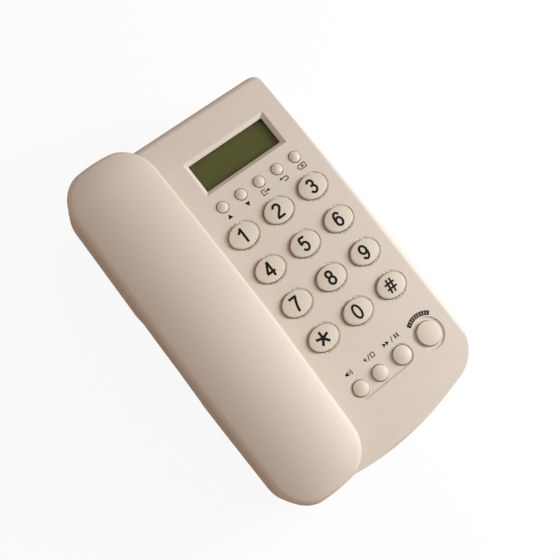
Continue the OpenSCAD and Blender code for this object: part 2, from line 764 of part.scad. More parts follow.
// ---- the base's casings ----
module base_top_case() {
    color(cream) difference() {
        union() {
            difference() {
                wedge(0);
                wedge(wall);
            }
            intersection() {
                wedge(wall / 2);
                cradle_hollow(wall);
            }
            intersection() {
                wedge(wall / 2);
                union() {
                    for (p = CASE_SCREWS) translate(p) disc(case_boss_r, seam_z, sky);
                    board_screw_places() disc(board_boss_r, -board_depth, 0);
                }
            }
        }
        // nothing of the shell hangs below the seam but the cups
        between(-far, seam_z) difference() {
            square([far, far], center = true);
            translate([handset_x, 0]) square([2 * (cap_r + 3), far], center = true);
        }
        between(-far, seam_z) difference() {
            square([far, far], center = true);
            polygon(base_outline(wall + seat_gap));
        }
        cradle_hollow(0);
        on_face() {
            for (p = KEY_PLACES) translate(p) {
                between(-far / 8, over) oval(key_w + 2 * key_gap, key_d + 2 * key_gap);
                between(-recess, over) oval(key_w + 2 * key_gap + 2 * key_dish,
                    key_d + 2 * key_gap + 2 * key_dish);
            }
            for (b = ROUND_BUTTONS) translate(b[0]) disc(b[1] + key_gap, -far / 8, over);
            translate(speaker_at) disc(speaker_dish_r, -recess, over);
            between(-recess, over) {
                translate(volume_at) circle(panel_r);
                translate(redial_at) circle(panel_r);
                translate(volume_at - [0, panel_r]) square([redial_on, 2 * panel_r]);
            }
            translate([window_shift, window_y]) {
                between(-far / 8, over) rectangle(window_w, window_d);
                intersection() {
                    along_y(2 * window_d) border_profile(window_w);
                    along_x(2 * window_w) border_profile(window_d);
                }
            }
        }
        for (p = CASE_SCREWS)
            translate(p) disc(screw_r + screw_gap, 0, seam_z + case_screw_reach + over);
        board_screw_places() disc(screw_r + screw_gap, -board_depth - over,
            -board_depth + board_screw_reach + 0.5);
        at_plunger() between(-far / 8, over) rectangle(plunger_w, plunger_d, 1);
        at_line_socket() socket_hole(line_socket_w);
        at_base_socket() socket_hole(cord_socket_w);
    }
}
module base_bottom_case() {
    color(underside_cream) difference() {
        union() {
            difference() {
                between(foot_h, seam_z - seam_gap) polygon(base_outline(0));
                between(floor_top, sky) polygon(base_outline(wall));
            }
            for (p = CASE_SCREWS) translate(p) disc(case_boss_r, foot_h, seam_z);
            for (p = FEET) translate(p) disc(foot_r + foot_pad, foot_h, floor_top + 0.4);
            at_clamp_ends() disc(clamp_post_r, -over, loudspeaker_h);
            translate([ballast_x, ballast_y]) for (side = [-1, 1])
                translate([side * ballast_w / 3, 0])
                    disc(peg_r, foot_h + 1, floor_top + ballast_t);
            // the hook switch's post, cut square to the cradle
            intersection() {
                at_plunger() between(-far / 4, plunger_foot - plunger_gap - hook_switch_h)
                    rectangle(hook_switch_w - 4, hook_switch_d - 1);
                between(foot_h + 1, sky) square([far, far], center = true);
            }
            // the line socket's pedestal
            at_line_socket() translate([0, (socket_depth + socket_wall) / 2 + 1.5])
                between(foot_h + 1 - line_socket_z, -socket_h / 2 - socket_wall)
                    rectangle(line_socket_w, socket_depth + socket_wall - 3);
        }
        for (p = CASE_SCREWS) translate(p) {
            disc(screw_head_r + 0.3, 0, case_ledge_z);
            disc(screw_r + screw_gap, 0, sky);
        }
        at_clamp_ends()
            disc(screw_r + screw_gap, loudspeaker_h - clamp_screw_reach - 0.5, sky);
        for (p = FEET) translate(p) disc(foot_r + seat_gap, 0, foot_h + foot_seat);
        // the loudspeaker's slots
        translate([loudspeaker_x, loudspeaker_y]) between(0, floor_top + over)
            for (i = [-4 : 4])
                translate([0, i * 2.2 * slot_w])
                    rectangle(2 * sqrt(pow(loudspeaker_r - 3, 2) - pow(i * 2.2 * slot_w, 2)),
                        slot_w, slot_w / 2 - 0.05);
        for (side = [-1, 1]) translate([keyhole_x, side * keyhole_pitch / 2]) keyhole();
        at_base_socket() socket_hole(cord_socket_w);
    }
}
module case_screws() {
    color(steel) for (p = CASE_SCREWS)
        translate([p[0], p[1], case_ledge_z])
            screw(seam_z + case_screw_reach - case_ledge_z, screw_head_r, screw_head_h, screw_r);
}
module board_screws() {
    color(steel) board_screw_places() translate([0, 0, -board_depth - board_t])
        screw(board_t + board_screw_reach, screw_head_r, screw_head_h, screw_r);
}

// ---- the handset ----
seam_half_gap = handset_seam_gap / 2;
// The back's profiles stand this far outside its outline, which trims them
trim = 0.4;
back_half = handset_w / 2 + trim;
back_peak = handset_top + tip(back_r, back_fall, back_half);
// The back is swept along a wide arc that falls by the crown at its two ends
sweep_r = half_handset * half_handset / (2 * handset_crown);
sweep_turn = 2.1 * asin(half_handset / sweep_r);
sweep_steps = 24;
// The back's cross-section over its crown's lowest level, with every face moved inwards
function back_section(d) = rounded(
    inset([[-back_half, 0], [back_half, 0], [back_half, back_peak - back_fall],
        [0, back_peak], [-back_half, back_peak - back_fall]], d),
    less([1, 1, shoulder_r, back_r, shoulder_r], d)
);
module back_sweep(d) {
    depth = sweep_r - handset_top;
    translate([0, 0, -depth]) rotate([0, 90, 0]) rotate(180 - sweep_turn / 2)
        rotate_extrude(angle = sweep_turn, $fn = ceil(sweep_steps * 360 / sweep_turn))
            translate([depth, 0]) polygon([for (p = back_section(d)) [p[1], p[0]]]);
}
module back_solid(d) {
    intersection() {
        between(0, sky) polygon(handset_outline(d));
        along_x(far) polygon(rounded(
            inset([[-half_handset, 0], [half_handset, 0],
                [half_handset, handset_top - handset_crown + trim],
                [0, handset_top + handset_crown + trim],
                [-half_handset, handset_top - handset_crown + trim]], d),
            less([1, 1, end_r, 1, end_r], d)
        ));
        back_sweep(d);
    }
}
// The underside's profile in Y and Z: two end blocks and a raised grip between them
function underside(d) =
    let (
        low = underside_gap + d,
        high = grip_rise + d,
        grip = grip_len / 2 - d,
        block = grip_len / 2 + grip_slope_len - d
    )
    [[-far, low], [-block, low], [-grip, high], [grip, high], [block, low], [far, low],
        [far, far], [-far, far]];
lower_edge_r = 5;
lower_half = handset_w / 2 + trim;
module front_solid(d) {
    intersection() {
        between(-over, far) polygon(handset_outline(d));
        along_x(far) polygon(underside(d));
        along_y(far) polygon(rounded(
            [[d - lower_half, underside_gap + d], [lower_half - d, underside_gap + d],
                [lower_half - d, far], [d - lower_half, far]],
            less([lower_edge_r, lower_edge_r, 1, 1], d)
        ));
    }
}
handset_boss_r = screw_head_r + 1;
handset_ledge = underside_gap + screw_head_h + 1.4;
handset_screw_reach = 8;
HANDSET_SCREWS = [[0, half_handset - 8], [0, -plunger_y]];
module handset_screw_places() {
    on_deck() for (p = HANDSET_SCREWS) translate(p) children();
}
cap_floor = rest_gap - cup_depth + 1.6;
cap_inner_r = cap_r - 1.6;
module handset_outer_shell() {
    color(cream) difference() {
        union() {
            on_deck() intersection() {
                difference() {
                    back_solid(0);
                    back_solid(shell_wall);
                }
                between(handset_seam + seam_half_gap, sky) square([far, far], center = true);
            }
            on_deck() intersection() {
                back_solid(shell_wall / 2);
                for (p = HANDSET_SCREWS)
                    translate(p) disc(handset_boss_r, handset_seam, sky);
            }
        }
        handset_screw_places()
            disc(screw_r + screw_gap, 0, handset_seam + handset_screw_reach + over);
        at_handset_socket() socket_hole(cord_socket_w);
    }
}
module handset_inner_shell() {
    color(cream) difference() {
        union() {
            on_deck() {
                difference() {
                    front_solid(0);
                    front_solid(shell_wall);
                    between(handset_seam - seam_half_gap, 2 * far)
                        square([far, far], center = true);
                }
                for (side = [-1, 1])
                    translate([0, side * cup_from_middle])
                        disc(cap_r, rest_gap - cup_depth, underside_gap + shell_wall / 2);
                intersection() {
                    front_solid(shell_wall / 2);
                    for (p = HANDSET_SCREWS) translate(p) disc(handset_boss_r, 0, handset_seam);
                }
            }
        }
        on_deck() for (side = [-1, 1])
            translate([0, side * cup_from_middle]) {
                disc(cap_inner_r, cap_floor, underside_gap + shell_wall + over);
                sound_holes(side > 0 ? 2 : 1);
            }
        handset_screw_places() {
            disc(screw_head_r + 0.3, -over, handset_ledge);
            disc(screw_r + screw_gap, 0, sky);
        }
        at_handset_socket() socket_hole(cord_socket_w);
    }
}
// One hole in the middle and rings of six, twelve and so on around it
module sound_holes(rings) {
    pitch = 4 * sound_hole_r;
    disc(sound_hole_r, -cup_depth, cap_floor + over);
    for (ring = [1 : rings])
        for (i = [0 : 6 * ring - 1])
            rotate(60 * i / ring) translate([ring * pitch, 0])
                disc(sound_hole_r, -cup_depth, cap_floor + over);
}
gasket_t = 1;
capsule_h = 4;
magnet_stub_h = 3;
capsule_r = cap_inner_r - 2;
module at_ear() { on_deck() translate([0, cup_from_middle, cap_floor]) children(); }
module at_mouth() { on_deck() translate([0, -cup_from_middle, cap_floor]) children(); }
module receiver_gasket() {
    color(black) at_ear() difference() {
        disc(capsule_r, 0, gasket_t);
        disc(capsule_r - 3, -over, gasket_t + over);
    }
}
module receiver_capsule() {
    color(steel) at_ear() {
        disc(capsule_r, gasket_t, gasket_t + capsule_h);
        disc(capsule_r * 0.6, gasket_t + capsule_h, gasket_t + capsule_h + magnet_stub_h);
    }
}
mic_r = 4.85;
boot_r = 7;
boot_h = 6;
boot_t = 1;
module microphone_boot() {
    color(black) at_mouth() difference() {
        disc(boot_r, 0, boot_h);
        disc(mic_r + screw_gap, boot_t, boot_h + over);
        disc(1.5, -over, 2);
    }
}
module microphone_capsule() {
    color(steel) at_mouth() disc(mic_r, boot_t, boot_h + boot_t / 2);
}
weight_w = 18;
weight_h = 6;
module handset_weight() {
    color(steel) on_deck() between(grip_rise + shell_wall, grip_rise + shell_wall + weight_h)
        rectangle(weight_w, grip_len - 4, 2);
}
module handset_screws() {
    color(steel) handset_screw_places() translate([0, 0, handset_ledge])
        screw(handset_seam + handset_screw_reach - handset_ledge, screw_head_r, screw_head_h,
            screw_r);
}

base_top_case();
base_bottom_case();
display_window();
lcd_panel();
lcd_frame();
main_board();
keypad_mat();
key_1();
key_2();
key_3();
key_4();
key_5();
key_6();
key_7();
key_8();
key_9();
key_star();
key_0();
key_hash();
button_up();
button_down();
button_out();
button_back();
button_delete();
button_volume();
button_flash();
button_redial();
button_speaker();
hook_plunger();
hook_switch();
loudspeaker();
loudspeaker_clamp();
line_socket();
base_cord_socket();
ballast_plate();
case_screws();
board_screws();
clamp_screws();
rubber_feet();
handset_outer_shell();
handset_inner_shell();
receiver_capsule();
receiver_gasket();
microphone_capsule();
microphone_boot();
handset_cord_socket();
handset_weight();
handset_screws();
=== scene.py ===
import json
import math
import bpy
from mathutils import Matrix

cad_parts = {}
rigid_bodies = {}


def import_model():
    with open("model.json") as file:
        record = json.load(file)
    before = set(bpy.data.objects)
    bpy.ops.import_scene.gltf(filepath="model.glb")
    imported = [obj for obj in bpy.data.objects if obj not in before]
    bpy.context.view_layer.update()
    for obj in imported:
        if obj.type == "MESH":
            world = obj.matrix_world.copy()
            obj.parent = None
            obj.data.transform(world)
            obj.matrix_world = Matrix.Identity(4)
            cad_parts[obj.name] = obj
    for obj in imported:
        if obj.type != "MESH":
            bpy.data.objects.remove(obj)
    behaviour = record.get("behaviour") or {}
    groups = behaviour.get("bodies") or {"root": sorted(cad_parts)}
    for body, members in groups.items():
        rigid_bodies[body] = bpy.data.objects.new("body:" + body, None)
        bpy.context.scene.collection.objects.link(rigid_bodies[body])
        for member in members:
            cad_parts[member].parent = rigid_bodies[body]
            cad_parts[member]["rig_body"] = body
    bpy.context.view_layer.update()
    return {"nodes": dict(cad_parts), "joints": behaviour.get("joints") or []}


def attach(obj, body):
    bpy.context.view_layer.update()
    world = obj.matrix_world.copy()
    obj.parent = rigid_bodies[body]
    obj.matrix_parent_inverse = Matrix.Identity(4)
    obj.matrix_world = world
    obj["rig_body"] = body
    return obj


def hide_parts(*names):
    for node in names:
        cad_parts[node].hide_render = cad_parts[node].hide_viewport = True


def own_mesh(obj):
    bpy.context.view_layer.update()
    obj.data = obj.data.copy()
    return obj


bl_info = {
    "name": "Corded Desk Phone",
    "version": (1, 0, 0),
    "blender": (4, 5, 0),
    "location": "3D Viewport > Sidebar > Desk Phone",
    "description": "Builds and finishes a corded desk phone with a caller display",
    "category": "Add Mesh",
}

import bpy
from mathutils import Matrix, Vector

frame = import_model()
NODES = frame["nodes"]
MM = 0.001
SAME_PLACE = 1e-6  # corners this close are one corner

NUMBER_KEYS = ["key_1", "key_2", "key_3", "key_4", "key_5", "key_6", "key_7", "key_8",
               "key_9", "key_star", "key_0", "key_hash"]
KEY_SIGNS = dict(zip(NUMBER_KEYS, "123456789*0#"))
SMALL_BUTTONS = ["button_up", "button_down", "button_out", "button_back", "button_delete"]
ROW_BUTTONS = ["button_volume", "button_flash", "button_redial"]
ROUND_BUTTONS = SMALL_BUTTONS + ROW_BUTTONS + ["button_speaker"]


# ---- frames, taken from the joints and the nodes ----

def joint_axis(name):
    return next(Vector(j["axis"]) for j in frame["joints"] if j["name"] == name)


def reach(node, turned):
    """A node's lowest and highest corners in a turned frame."""
    back = turned.inverted()
    points = [back @ v.co for v in NODES[node].data.vertices]
    low = Vector([min(p[i] for p in points) for i in range(3)])
    high = Vector([max(p[i] for p in points) for i in range(3)])
    return low, high


PRESS = joint_axis("key_5_press")
LIFT = joint_axis("handset_lift")
FACE_TURN = Matrix.Rotation(math.atan2(PRESS.y, -PRESS.z), 4, "X")
CRADLE_TURN = Matrix.Rotation(math.atan2(-LIFT.y, LIFT.z), 4, "X")


def framed(turned, middle_node, level_node, end):
    """A frame with its origin over a node's middle, at another node's lowest or highest level."""
    low, high = reach(middle_node, turned)
    level = reach(level_node, turned)[end].z
    return turned @ Matrix.Translation(((low.x + high.x) / 2, (low.y + high.y) / 2, level))


# The face: X right, Y up the slope and Z out of it, from the middle key
FACE = framed(FACE_TURN, "key_5", "base_top_case", 1)
# The handset: X right, Y to its ear end and Z out of its back, from the seam
HANDSET = framed(CRADLE_TURN, "handset_outer_shell", "handset_outer_shell", 0)


def middle(node, turned):
    low, high = reach(node, turned)
    return (low + high) / 2


# ---- what a user would change ----

def length(name, text, default, low, high):
    return bpy.props.FloatProperty(name=name, description=text, default=default * MM,
                                   min=low * MM, max=high * MM, unit="LENGTH")


def colour(name, text, default):
    return bpy.props.StringProperty(name=name, description=text + ", as an sRGB hex value",
                                    default=default)


class DESKPHONE_PG_sizes(bpy.types.PropertyGroup):
    key_round: length("Key edge", "Rounding of the number keys' rims", 0.5, 0.2, 1.5)
    key_crown: length("Key crown", "How far a number key's top domes", 0.52, 0.0, 0.6)
    button_crown: length("Button crown", "How far a round button's top domes", 0.66, 0.1, 1.0)
    print_rise: length("Print", "Thickness of the printed signs", 0.03, 0.01, 0.1)
    digit_height: length("Digit height", "Height of the digits on the keys", 7.85, 5.0, 8.0)
    digit_stroke: length("Digit stroke", "Width of the digits' strokes", 1.23, 0.5, 1.5)
    icon_size: length("Icon size", "Height of the small signs by the buttons", 2.5, 1.5, 3.5)
    casing_edge: length("Casing edge", "Softening of the casings' moulded edges", 0.22, 0.05, 0.5)
    shell_thickness: length("Shell", "Wall of the handset's back shell", 2.0, 1.2, 3.0)
    shell_corner: length("Shell corner", "Radius of the handset's corners, in plan", 14.5, 10.0,
                         18.0)
    shell_end: length("Shell end", "Length over which the back rounds down at its ends", 14.0, 4.0,
                      20.0)
    shell_drop: length("Shell drop", "How far the back rounds down at its ends", 2.6, 1.0, 6.0)
    shell_crown: length("Shell crown", "Rise of the handset's back half way along", 3.2, 0.5, 6.0)
    shell_ridge: length("Shell ridge", "Radius of the back, across", 60.0, 50.0, 80.0)
    shell_shoulder: length("Shell shoulder", "Rounding between the back and its sides", 2.2, 1.0,
                           6.0)
    shell_bow: length("Shell bow", "How far the handset's ends bow out", 2.5, 0.5, 5.0)


class DESKPHONE_PG_colours(bpy.types.PropertyGroup):
    casing: colour("Casing", "Cream of the base's upper casing", "#D6CABE")
    handset: colour("Handset", "Cream of the handset's shells", "#D7C9BD")
    underside: colour("Underside", "Cream of the lower casing", "#C9BEB1")
    keys: colour("Keys", "Paler cream of the keys and buttons", "#D5CABB")
    ink: colour("Ink", "Printed signs", "#0B0806")
    band: colour("Band", "Printed band over the speaker button", "#2E271D")
    display: colour("Display", "Liquid crystal panel", "#5A5B27")
    black: colour("Black", "Sockets, feet and inner frames", "#1E1F21")
    board: colour("Board", "Solder mask of the main board", "#1F5A38")
    mat: colour("Mat", "Silicone of the keypad mat", "#8C8F92")


# ---- working with meshes ----

def free_hands():
    if bpy.context.object and bpy.context.object.mode != "OBJECT":
        bpy.ops.object.mode_set(mode="OBJECT")
    bpy.ops.object.select_all(action="DESELECT")


def take(*objects):
    free_hands()
    for obj in objects:
        obj.select_set(True)
    bpy.context.view_layer.objects.active = objects[0]


def named(name):
    obj = bpy.context.object
    obj.name = name
    obj.data.name = name
    return obj


def edit(obj, kind="FACE"):
    take(obj)
    bpy.ops.object.mode_set(mode="EDIT")
    bpy.ops.mesh.select_mode(type=kind)


def edit_all(obj, kind="FACE"):
    """Opens a mesh for editing, with all of it selected."""
    edit(obj, kind)
    bpy.ops.mesh.select_all(action="SELECT")


def leave():
    bpy.ops.object.mode_set(mode="OBJECT")


def pick(obj, kind, wanted):
    """Selects the faces, edges or corners that a test wants, and stays in edit mode."""
    edit(obj, kind)
    bpy.ops.mesh.select_all(action="DESELECT")
    leave()
    parts = {"FACE": obj.data.polygons, "EDGE": obj.data.edges, "VERT": obj.data.vertices}[kind]
    for part in parts:
        part.select = wanted(part)
    bpy.ops.object.mode_set(mode="EDIT")


def edge_run(obj, e):
    return obj.data.vertices[e.vertices[1]].co - obj.data.vertices[e.vertices[0]].co


def modify(obj, kind, **settings):
    take(obj)
    modifier = obj.modifiers.new(kind.title(), kind)
    for key, value in settings.items():
        setattr(modifier, key, value)
    bpy.ops.object.modifier_apply(modifier=modifier.name)


def smooth(obj, degrees):
    take(obj)
    bpy.ops.object.shade_smooth_by_angle(angle=math.radians(degrees))
    modify(obj, "WEIGHTED_NORMAL", keep_sharp=True, weight=60)


def settle(obj, matrix):
    """Puts a piece made about the origin in its place, and leaves its object at the origin."""
    obj.data.transform(matrix @ obj.matrix_world)
    obj.matrix_world = Matrix.Identity(4)
    return obj


def raise_rings(rings):
    """Extrudes the selected face through rings of (x scale, y scale, height)."""
    last_x, last_y, last_z = rings[0]
    for x, y, z in rings[1:]:
        bpy.ops.mesh.extrude_region_move(TRANSFORM_OT_translate={"value": (0, 0, z - last_z)})
        bpy.ops.transform.resize(value=(x / last_x, y / last_y, 1), center_override=(0, 0, 0))
        last_x, last_y, last_z = x, y, z
    leave()


def finish_piece(obj, surface, slot, body, *replaced):
    """Gives a piece its material, the body it rides on and the nodes it stands for; slot is not
    used.
    """
    obj.data.materials.clear()
    obj.data.materials.append(surface)
    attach(obj, body)
    if replaced:
        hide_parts(*replaced)
    return obj


def body_of(node):
    return NODES[node]["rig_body"]


def moulded_copy(node, name, edge, reshape=None, soft=35):
    """A CAD node's shape with merged corners, clean flat faces and softened edges.

    edge is the softening's width, and soft the angle in degrees below which faces shade as one.
    """
    flat, sharp = 0.4, 28
    free_hands()
    obj = NODES[node].copy()
    obj.data = NODES[node].data.copy()
    obj.parent = None
    for key in list(obj.keys()):
        del obj[key]
    bpy.context.scene.collection.objects.link(obj)
    take(obj)
    obj.name = name
    obj.data.name = name
    obj.data.materials.clear()
    edit_all(obj)
    bpy.ops.mesh.remove_doubles(threshold=SAME_PLACE)
    if reshape:
        leave()
        reshape(obj)
        edit_all(obj)
    bpy.ops.mesh.dissolve_limited(angle_limit=math.radians(flat))
    leave()
    if edge:
        modify(obj, "BEVEL", width=edge, segments=2, limit_method="ANGLE",
               angle_limit=math.radians(sharp), use_clamp_overlap=True)
    smooth(obj, soft)
    return obj


# ---- materials ----

def linear(hex_value):
    """An sRGB hex colour in linear light, with full alpha."""
    parts = [int(hex_value.lstrip("#")[i:i + 2], 16) / 255 for i in (0, 2, 4)]
    return tuple(p / 12.92 if p <= 0.04045 else ((p + 0.055) / 1.055) ** 2.4
                 for p in parts) + (1.0,)


def shade(hex_value, factor):
    """The same hue, lighter or darker."""
    parts = [min(255, round(int(hex_value.lstrip("#")[i:i + 2], 16) * factor)) for i in (0, 2, 4)]
    return "#" + "".join("%02X" % p for p in parts)


def add_node(tree, kind, settings=None, links=None):
    """Adds a node with its settings, its inputs' values and the sockets that feed it."""
    node = tree.nodes.new(kind)
    for key, value in (settings or {}).items():
        if isinstance(key, int) or key in node.inputs:
            node.inputs[key].default_value = value
        else:
            setattr(node, key, value)
    for key, socket in (links or {}).items():
        tree.links.new(socket, node.inputs[key])
    return node


def blank_material(name):
    material = bpy.data.materials.new(name)
    material.use_nodes = True
    material.node_tree.nodes.clear()
    return material


def moulded(name, hex_value, grain=0.45, depth=0.012, roughness=0.42, mottle=0.03,
            rough_spread=0.06, ior=1.53, specular=0.5):
    """A moulded surface: a fine grain, a slow unevenness of tone and a little of gloss.

    grain is the size of the grain and depth its height, in mm; mottle and rough_spread are how
    far the tone and the roughness wander.
    """
    tree = blank_material(name).node_tree
    place = add_node(tree, "ShaderNodeTexCoord")
    patch = 22 * MM  # the size of a patch of one tone
    slow = add_node(tree, "ShaderNodeTexNoise", {"Scale": 1 / patch, "Detail": 3.0},
                    {"Vector": place.outputs["Object"]})
    tone = add_node(tree, "ShaderNodeMix", {"data_type": "RGBA",
                                            6: linear(shade(hex_value, 1 - mottle)),
                                            7: linear(shade(hex_value, 1 + mottle))},
                    {0: slow.outputs["Fac"]})
    fine = add_node(tree, "ShaderNodeTexNoise", {"Scale": 1 / (grain * MM), "Detail": 2.0},
                    {"Vector": place.outputs["Object"]})
    gloss = add_node(tree, "ShaderNodeMapRange", {"To Min": roughness - rough_spread,
                                                  "To Max": roughness + rough_spread},
                     {"Value": slow.outputs["Fac"]})
    grains = add_node(tree, "ShaderNodeBump", {"Distance": depth * MM, "Strength": 0.6},
                      {"Height": fine.outputs["Fac"]})
    shader = add_node(tree, "ShaderNodeBsdfPrincipled",
                      {"IOR": ior, "Specular IOR Level": specular},
                      {"Base Color": tone.outputs[2], "Roughness": gloss.outputs["Result"],
                       "Normal": grains.outputs["Normal"]})
    add_node(tree, "ShaderNodeOutputMaterial", None, {"Surface": shader.outputs["BSDF"]})


def metal(name, hex_value, roughness, brushed):
    """A metal with fine rolling marks, drawn out by brushed, that break up its shine."""
    tree = blank_material(name).node_tree
    place = add_node(tree, "ShaderNodeTexCoord")
    mark = 0.6 * MM  # the size of a mark
    duller, brighter, smoother, rougher = 0.93, 1.05, 0.07, 0.1
    lines = add_node(tree, "ShaderNodeMapping", {"Scale": (1.0, 1.0 - brushed, 1.0)},
                     {"Vector": place.outputs["Object"]})
    marks = add_node(tree, "ShaderNodeTexNoise", {"Scale": 1 / mark, "Detail": 3.0},
                     {"Vector": lines.outputs["Vector"]})
    tone = add_node(tree, "ShaderNodeMix", {"data_type": "RGBA",
                                            6: linear(shade(hex_value, duller)),
                                            7: linear(shade(hex_value, brighter))},
                    {0: marks.outputs["Fac"]})
    gloss = add_node(tree, "ShaderNodeMapRange", {"To Min": roughness - smoother,
                                                  "To Max": roughness + rougher},
                     {"Value": marks.outputs["Fac"]})
    shader = add_node(tree, "ShaderNodeBsdfPrincipled", {"Metallic": 1.0},
                      {"Base Color": tone.outputs[2], "Roughness": gloss.outputs["Result"]})
    add_node(tree, "ShaderNodeOutputMaterial", None, {"Surface": shader.outputs["BSDF"]})


def make_materials():
    c = bpy.context.scene.deskphone_colours
    # Injection-moulded ABS from a spark-eroded mould: a fine even grain, satin
    moulded("moulded_abs_casing", c.casing, roughness=0.5, mottle=0.012, specular=0.3)
    # The same ABS in a second shot, a touch pinker than the base's
    moulded("moulded_abs_handset", c.handset, roughness=0.48, mottle=0.012, specular=0.3)
    # The same ABS, from a coarser and duller mould, where the base faces the table
    moulded("textured_abs_underside", c.underside, grain=0.8, depth=0.03, roughness=0.6,
            mottle=0.02)
    # ABS keys from a smoother mould, a little glossier where fingers polish them
    moulded("moulded_abs_keys", c.keys, grain=0.3, depth=0.006, roughness=0.42, mottle=0.01,
            specular=0.35)
    # Pad-printed ink: thin, dense and slightly uneven
    moulded("pad_printed_ink", c.ink, grain=0.25, depth=0.004, roughness=0.62, mottle=0.12,
            specular=0.12)
    # The same ink, thinned to a dark brown, under and round the pale marks of the band
    moulded("pad_printed_brown", c.band, grain=0.25, depth=0.004, roughness=0.62, mottle=0.15,
            specular=0.15)
    # Pale pad-printed marks, a shade duller than the casing
    moulded("pad_printed_cream", shade(c.casing, 0.86), grain=0.25, depth=0.004, roughness=0.6,
            mottle=0.06)
    # The display's front polariser: an olive film with an anti-glare face, without grain
    moulded("polariser_film", c.display, grain=1.2, depth=0, roughness=0.5, mottle=0.05,
            rough_spread=0.03, specular=0.2)
    # Moulded black polycarbonate of the sockets and the display's carrier
    moulded("moulded_black_polycarbonate", c.black, grain=0.5, roughness=0.35, ior=1.58)
    # Moulded rubber: dull, with a fine powdery bloom
    moulded("moulded_black_rubber", shade(c.black, 1.1), grain=0.6, depth=0.03, roughness=0.78,
            mottle=0.1)
    # Moulded silicone, soft and dull
    moulded("moulded_silicone", c.mat, grain=0.9, depth=0.02, roughness=0.62, mottle=0.05,
            ior=1.41)
    # Fibreglass board under a green solder mask, whose weave shows faintly
    moulded("solder_mask_board", c.board, grain=0.7, depth=0.02, roughness=0.3, mottle=0.12)
    # Zinc-plated steel, with soft rolling marks
    metal("zinc_plated_steel", "#B4B6B8", roughness=0.34, brushed=0.9)

    # Cast acrylic: clear, with an anti-reflection coat and a faint grey cast
    cloud = 9 * MM  # the size of the cast's slow unevenness
    tree = blank_material("polished_acrylic_window").node_tree
    place = add_node(tree, "ShaderNodeTexCoord")
    haze = add_node(tree, "ShaderNodeTexNoise", {"Scale": 1 / cloud, "Detail": 2.0},
                    {"Vector": place.outputs["Object"]})
    tint = add_node(tree, "ShaderNodeMix",
                    {"data_type": "RGBA", 6: linear("#45463A"), 7: linear("#505143")},
                    {0: haze.outputs["Fac"]})
    shader = add_node(tree, "ShaderNodeBsdfPrincipled",
                      {"Roughness": 0.06, "IOR": 1.49, "Alpha": 0.1, "Specular IOR Level": 0.25},
                      {"Base Color": tint.outputs[2]})
    add_node(tree, "ShaderNodeOutputMaterial", None, {"Surface": shader.outputs["BSDF"]})


def material(name):
    return bpy.data.materials[name]


# ---- pieces ----

class Piece:
    """What the operators share: they undo as one step and act on the loaded frame."""
    bl_options = {"REGISTER", "UNDO"}


def ellipse_loft(name, rings, sides):
    """Rings of (half width, half depth, height), from the bottom up, closed at both ends."""
    free_hands()
    bpy.ops.mesh.primitive_circle_add(vertices=sides, radius=1, fill_type="NGON",
                                      location=(0, 0, 0))
    obj = named(name)
    edit_all(obj)
    w, d, z = rings[0]
    bpy.ops.transform.resize(value=(w, d, 1), center_override=(0, 0, 0))
    bpy.ops.transform.translate(value=(0, 0, z))
    raise_rings(rings)
    edit_all(obj)
    bpy.ops.mesh.normals_make_consistent(inside=False)
    leave()
    return obj


def quarter(count):
    """Steps of a quarter turn, from 0 to 1 across and up."""
    turns = [math.pi / 2 * i / count for i in range(count + 1)]
    return [(math.sin(t), 1 - math.cos(t)) for t in turns]


def cap_rings(node, rounding, crown, shares):
    """A key's or button's rings: flange, stem, rounded rim and domed top, with its dome's size."""
    back = FACE.inverted()
    points = [back @ v.co for v in NODES[node].data.vertices]
    low, high = reach(node, FACE)
    clear, thin_edge, rim_steps = 0.2 * MM, 0.1 * MM, 5
    above = [p for p in points if p.z > clear]
    w = (max(p.x for p in above) - min(p.x for p in above)) / 2
    d = (max(p.y for p in above) - min(p.y for p in above)) / 2
    flange_w, flange_d = (high.x - low.x) / 2, (high.y - low.y) / 2
    # the flange's top is the highest level of its outermost points
    mid_x = (low.x + high.x) / 2
    flange_top = max(p.z for p in points if abs(p.x - mid_x) > flange_w - thin_edge)
    rim = high.z - crown
    rings = [(flange_w, flange_d, low.z), (flange_w, flange_d, flange_top),
             (w, d, flange_top), (w, d, rim - rounding)]
    for out, down in quarter(rim_steps)[1:]:
        rings.append((w - down * rounding, d - down * rounding, rim - rounding * (1 - out)))
    top_w, top_d = w - rounding, d - rounding
    for share in shares:
        rings.append((top_w * share, top_d * share, rim + crown * (1 - share * share)))
    return rings, (top_w, top_d, rim, crown)


def dome_height(dome, x, y):
    """The height of a cap's domed top over the face, at a distance from its middle."""
    w, d, rim, crown = dome
    return rim + crown * (1 - (x / w) ** 2 - (y / d) ** 2)


# ---- flat signs, from strokes of one width ----

def arc(cx, cy, rx, ry, start, end, steps=18):
    """Points along an upright ellipse, between two angles in degrees."""
    turns = [math.radians(start + (end - start) * i / steps) for i in range(steps + 1)]
    return [(cx + rx * math.cos(t), cy + ry * math.sin(t)) for t in turns]


def dense(path, step):
    """The same path, with no two of its points further apart than a step."""
    points = [path[0]]
    for (x0, y0), (x1, y1) in zip(path, path[1:]):
        count = max(1, math.ceil(math.hypot(x1 - x0, y1 - y0) / step))
        points += [(x0 + (x1 - x0) * i / count, y0 + (y1 - y0) * i / count)
                   for i in range(1, count + 1)]
    return points


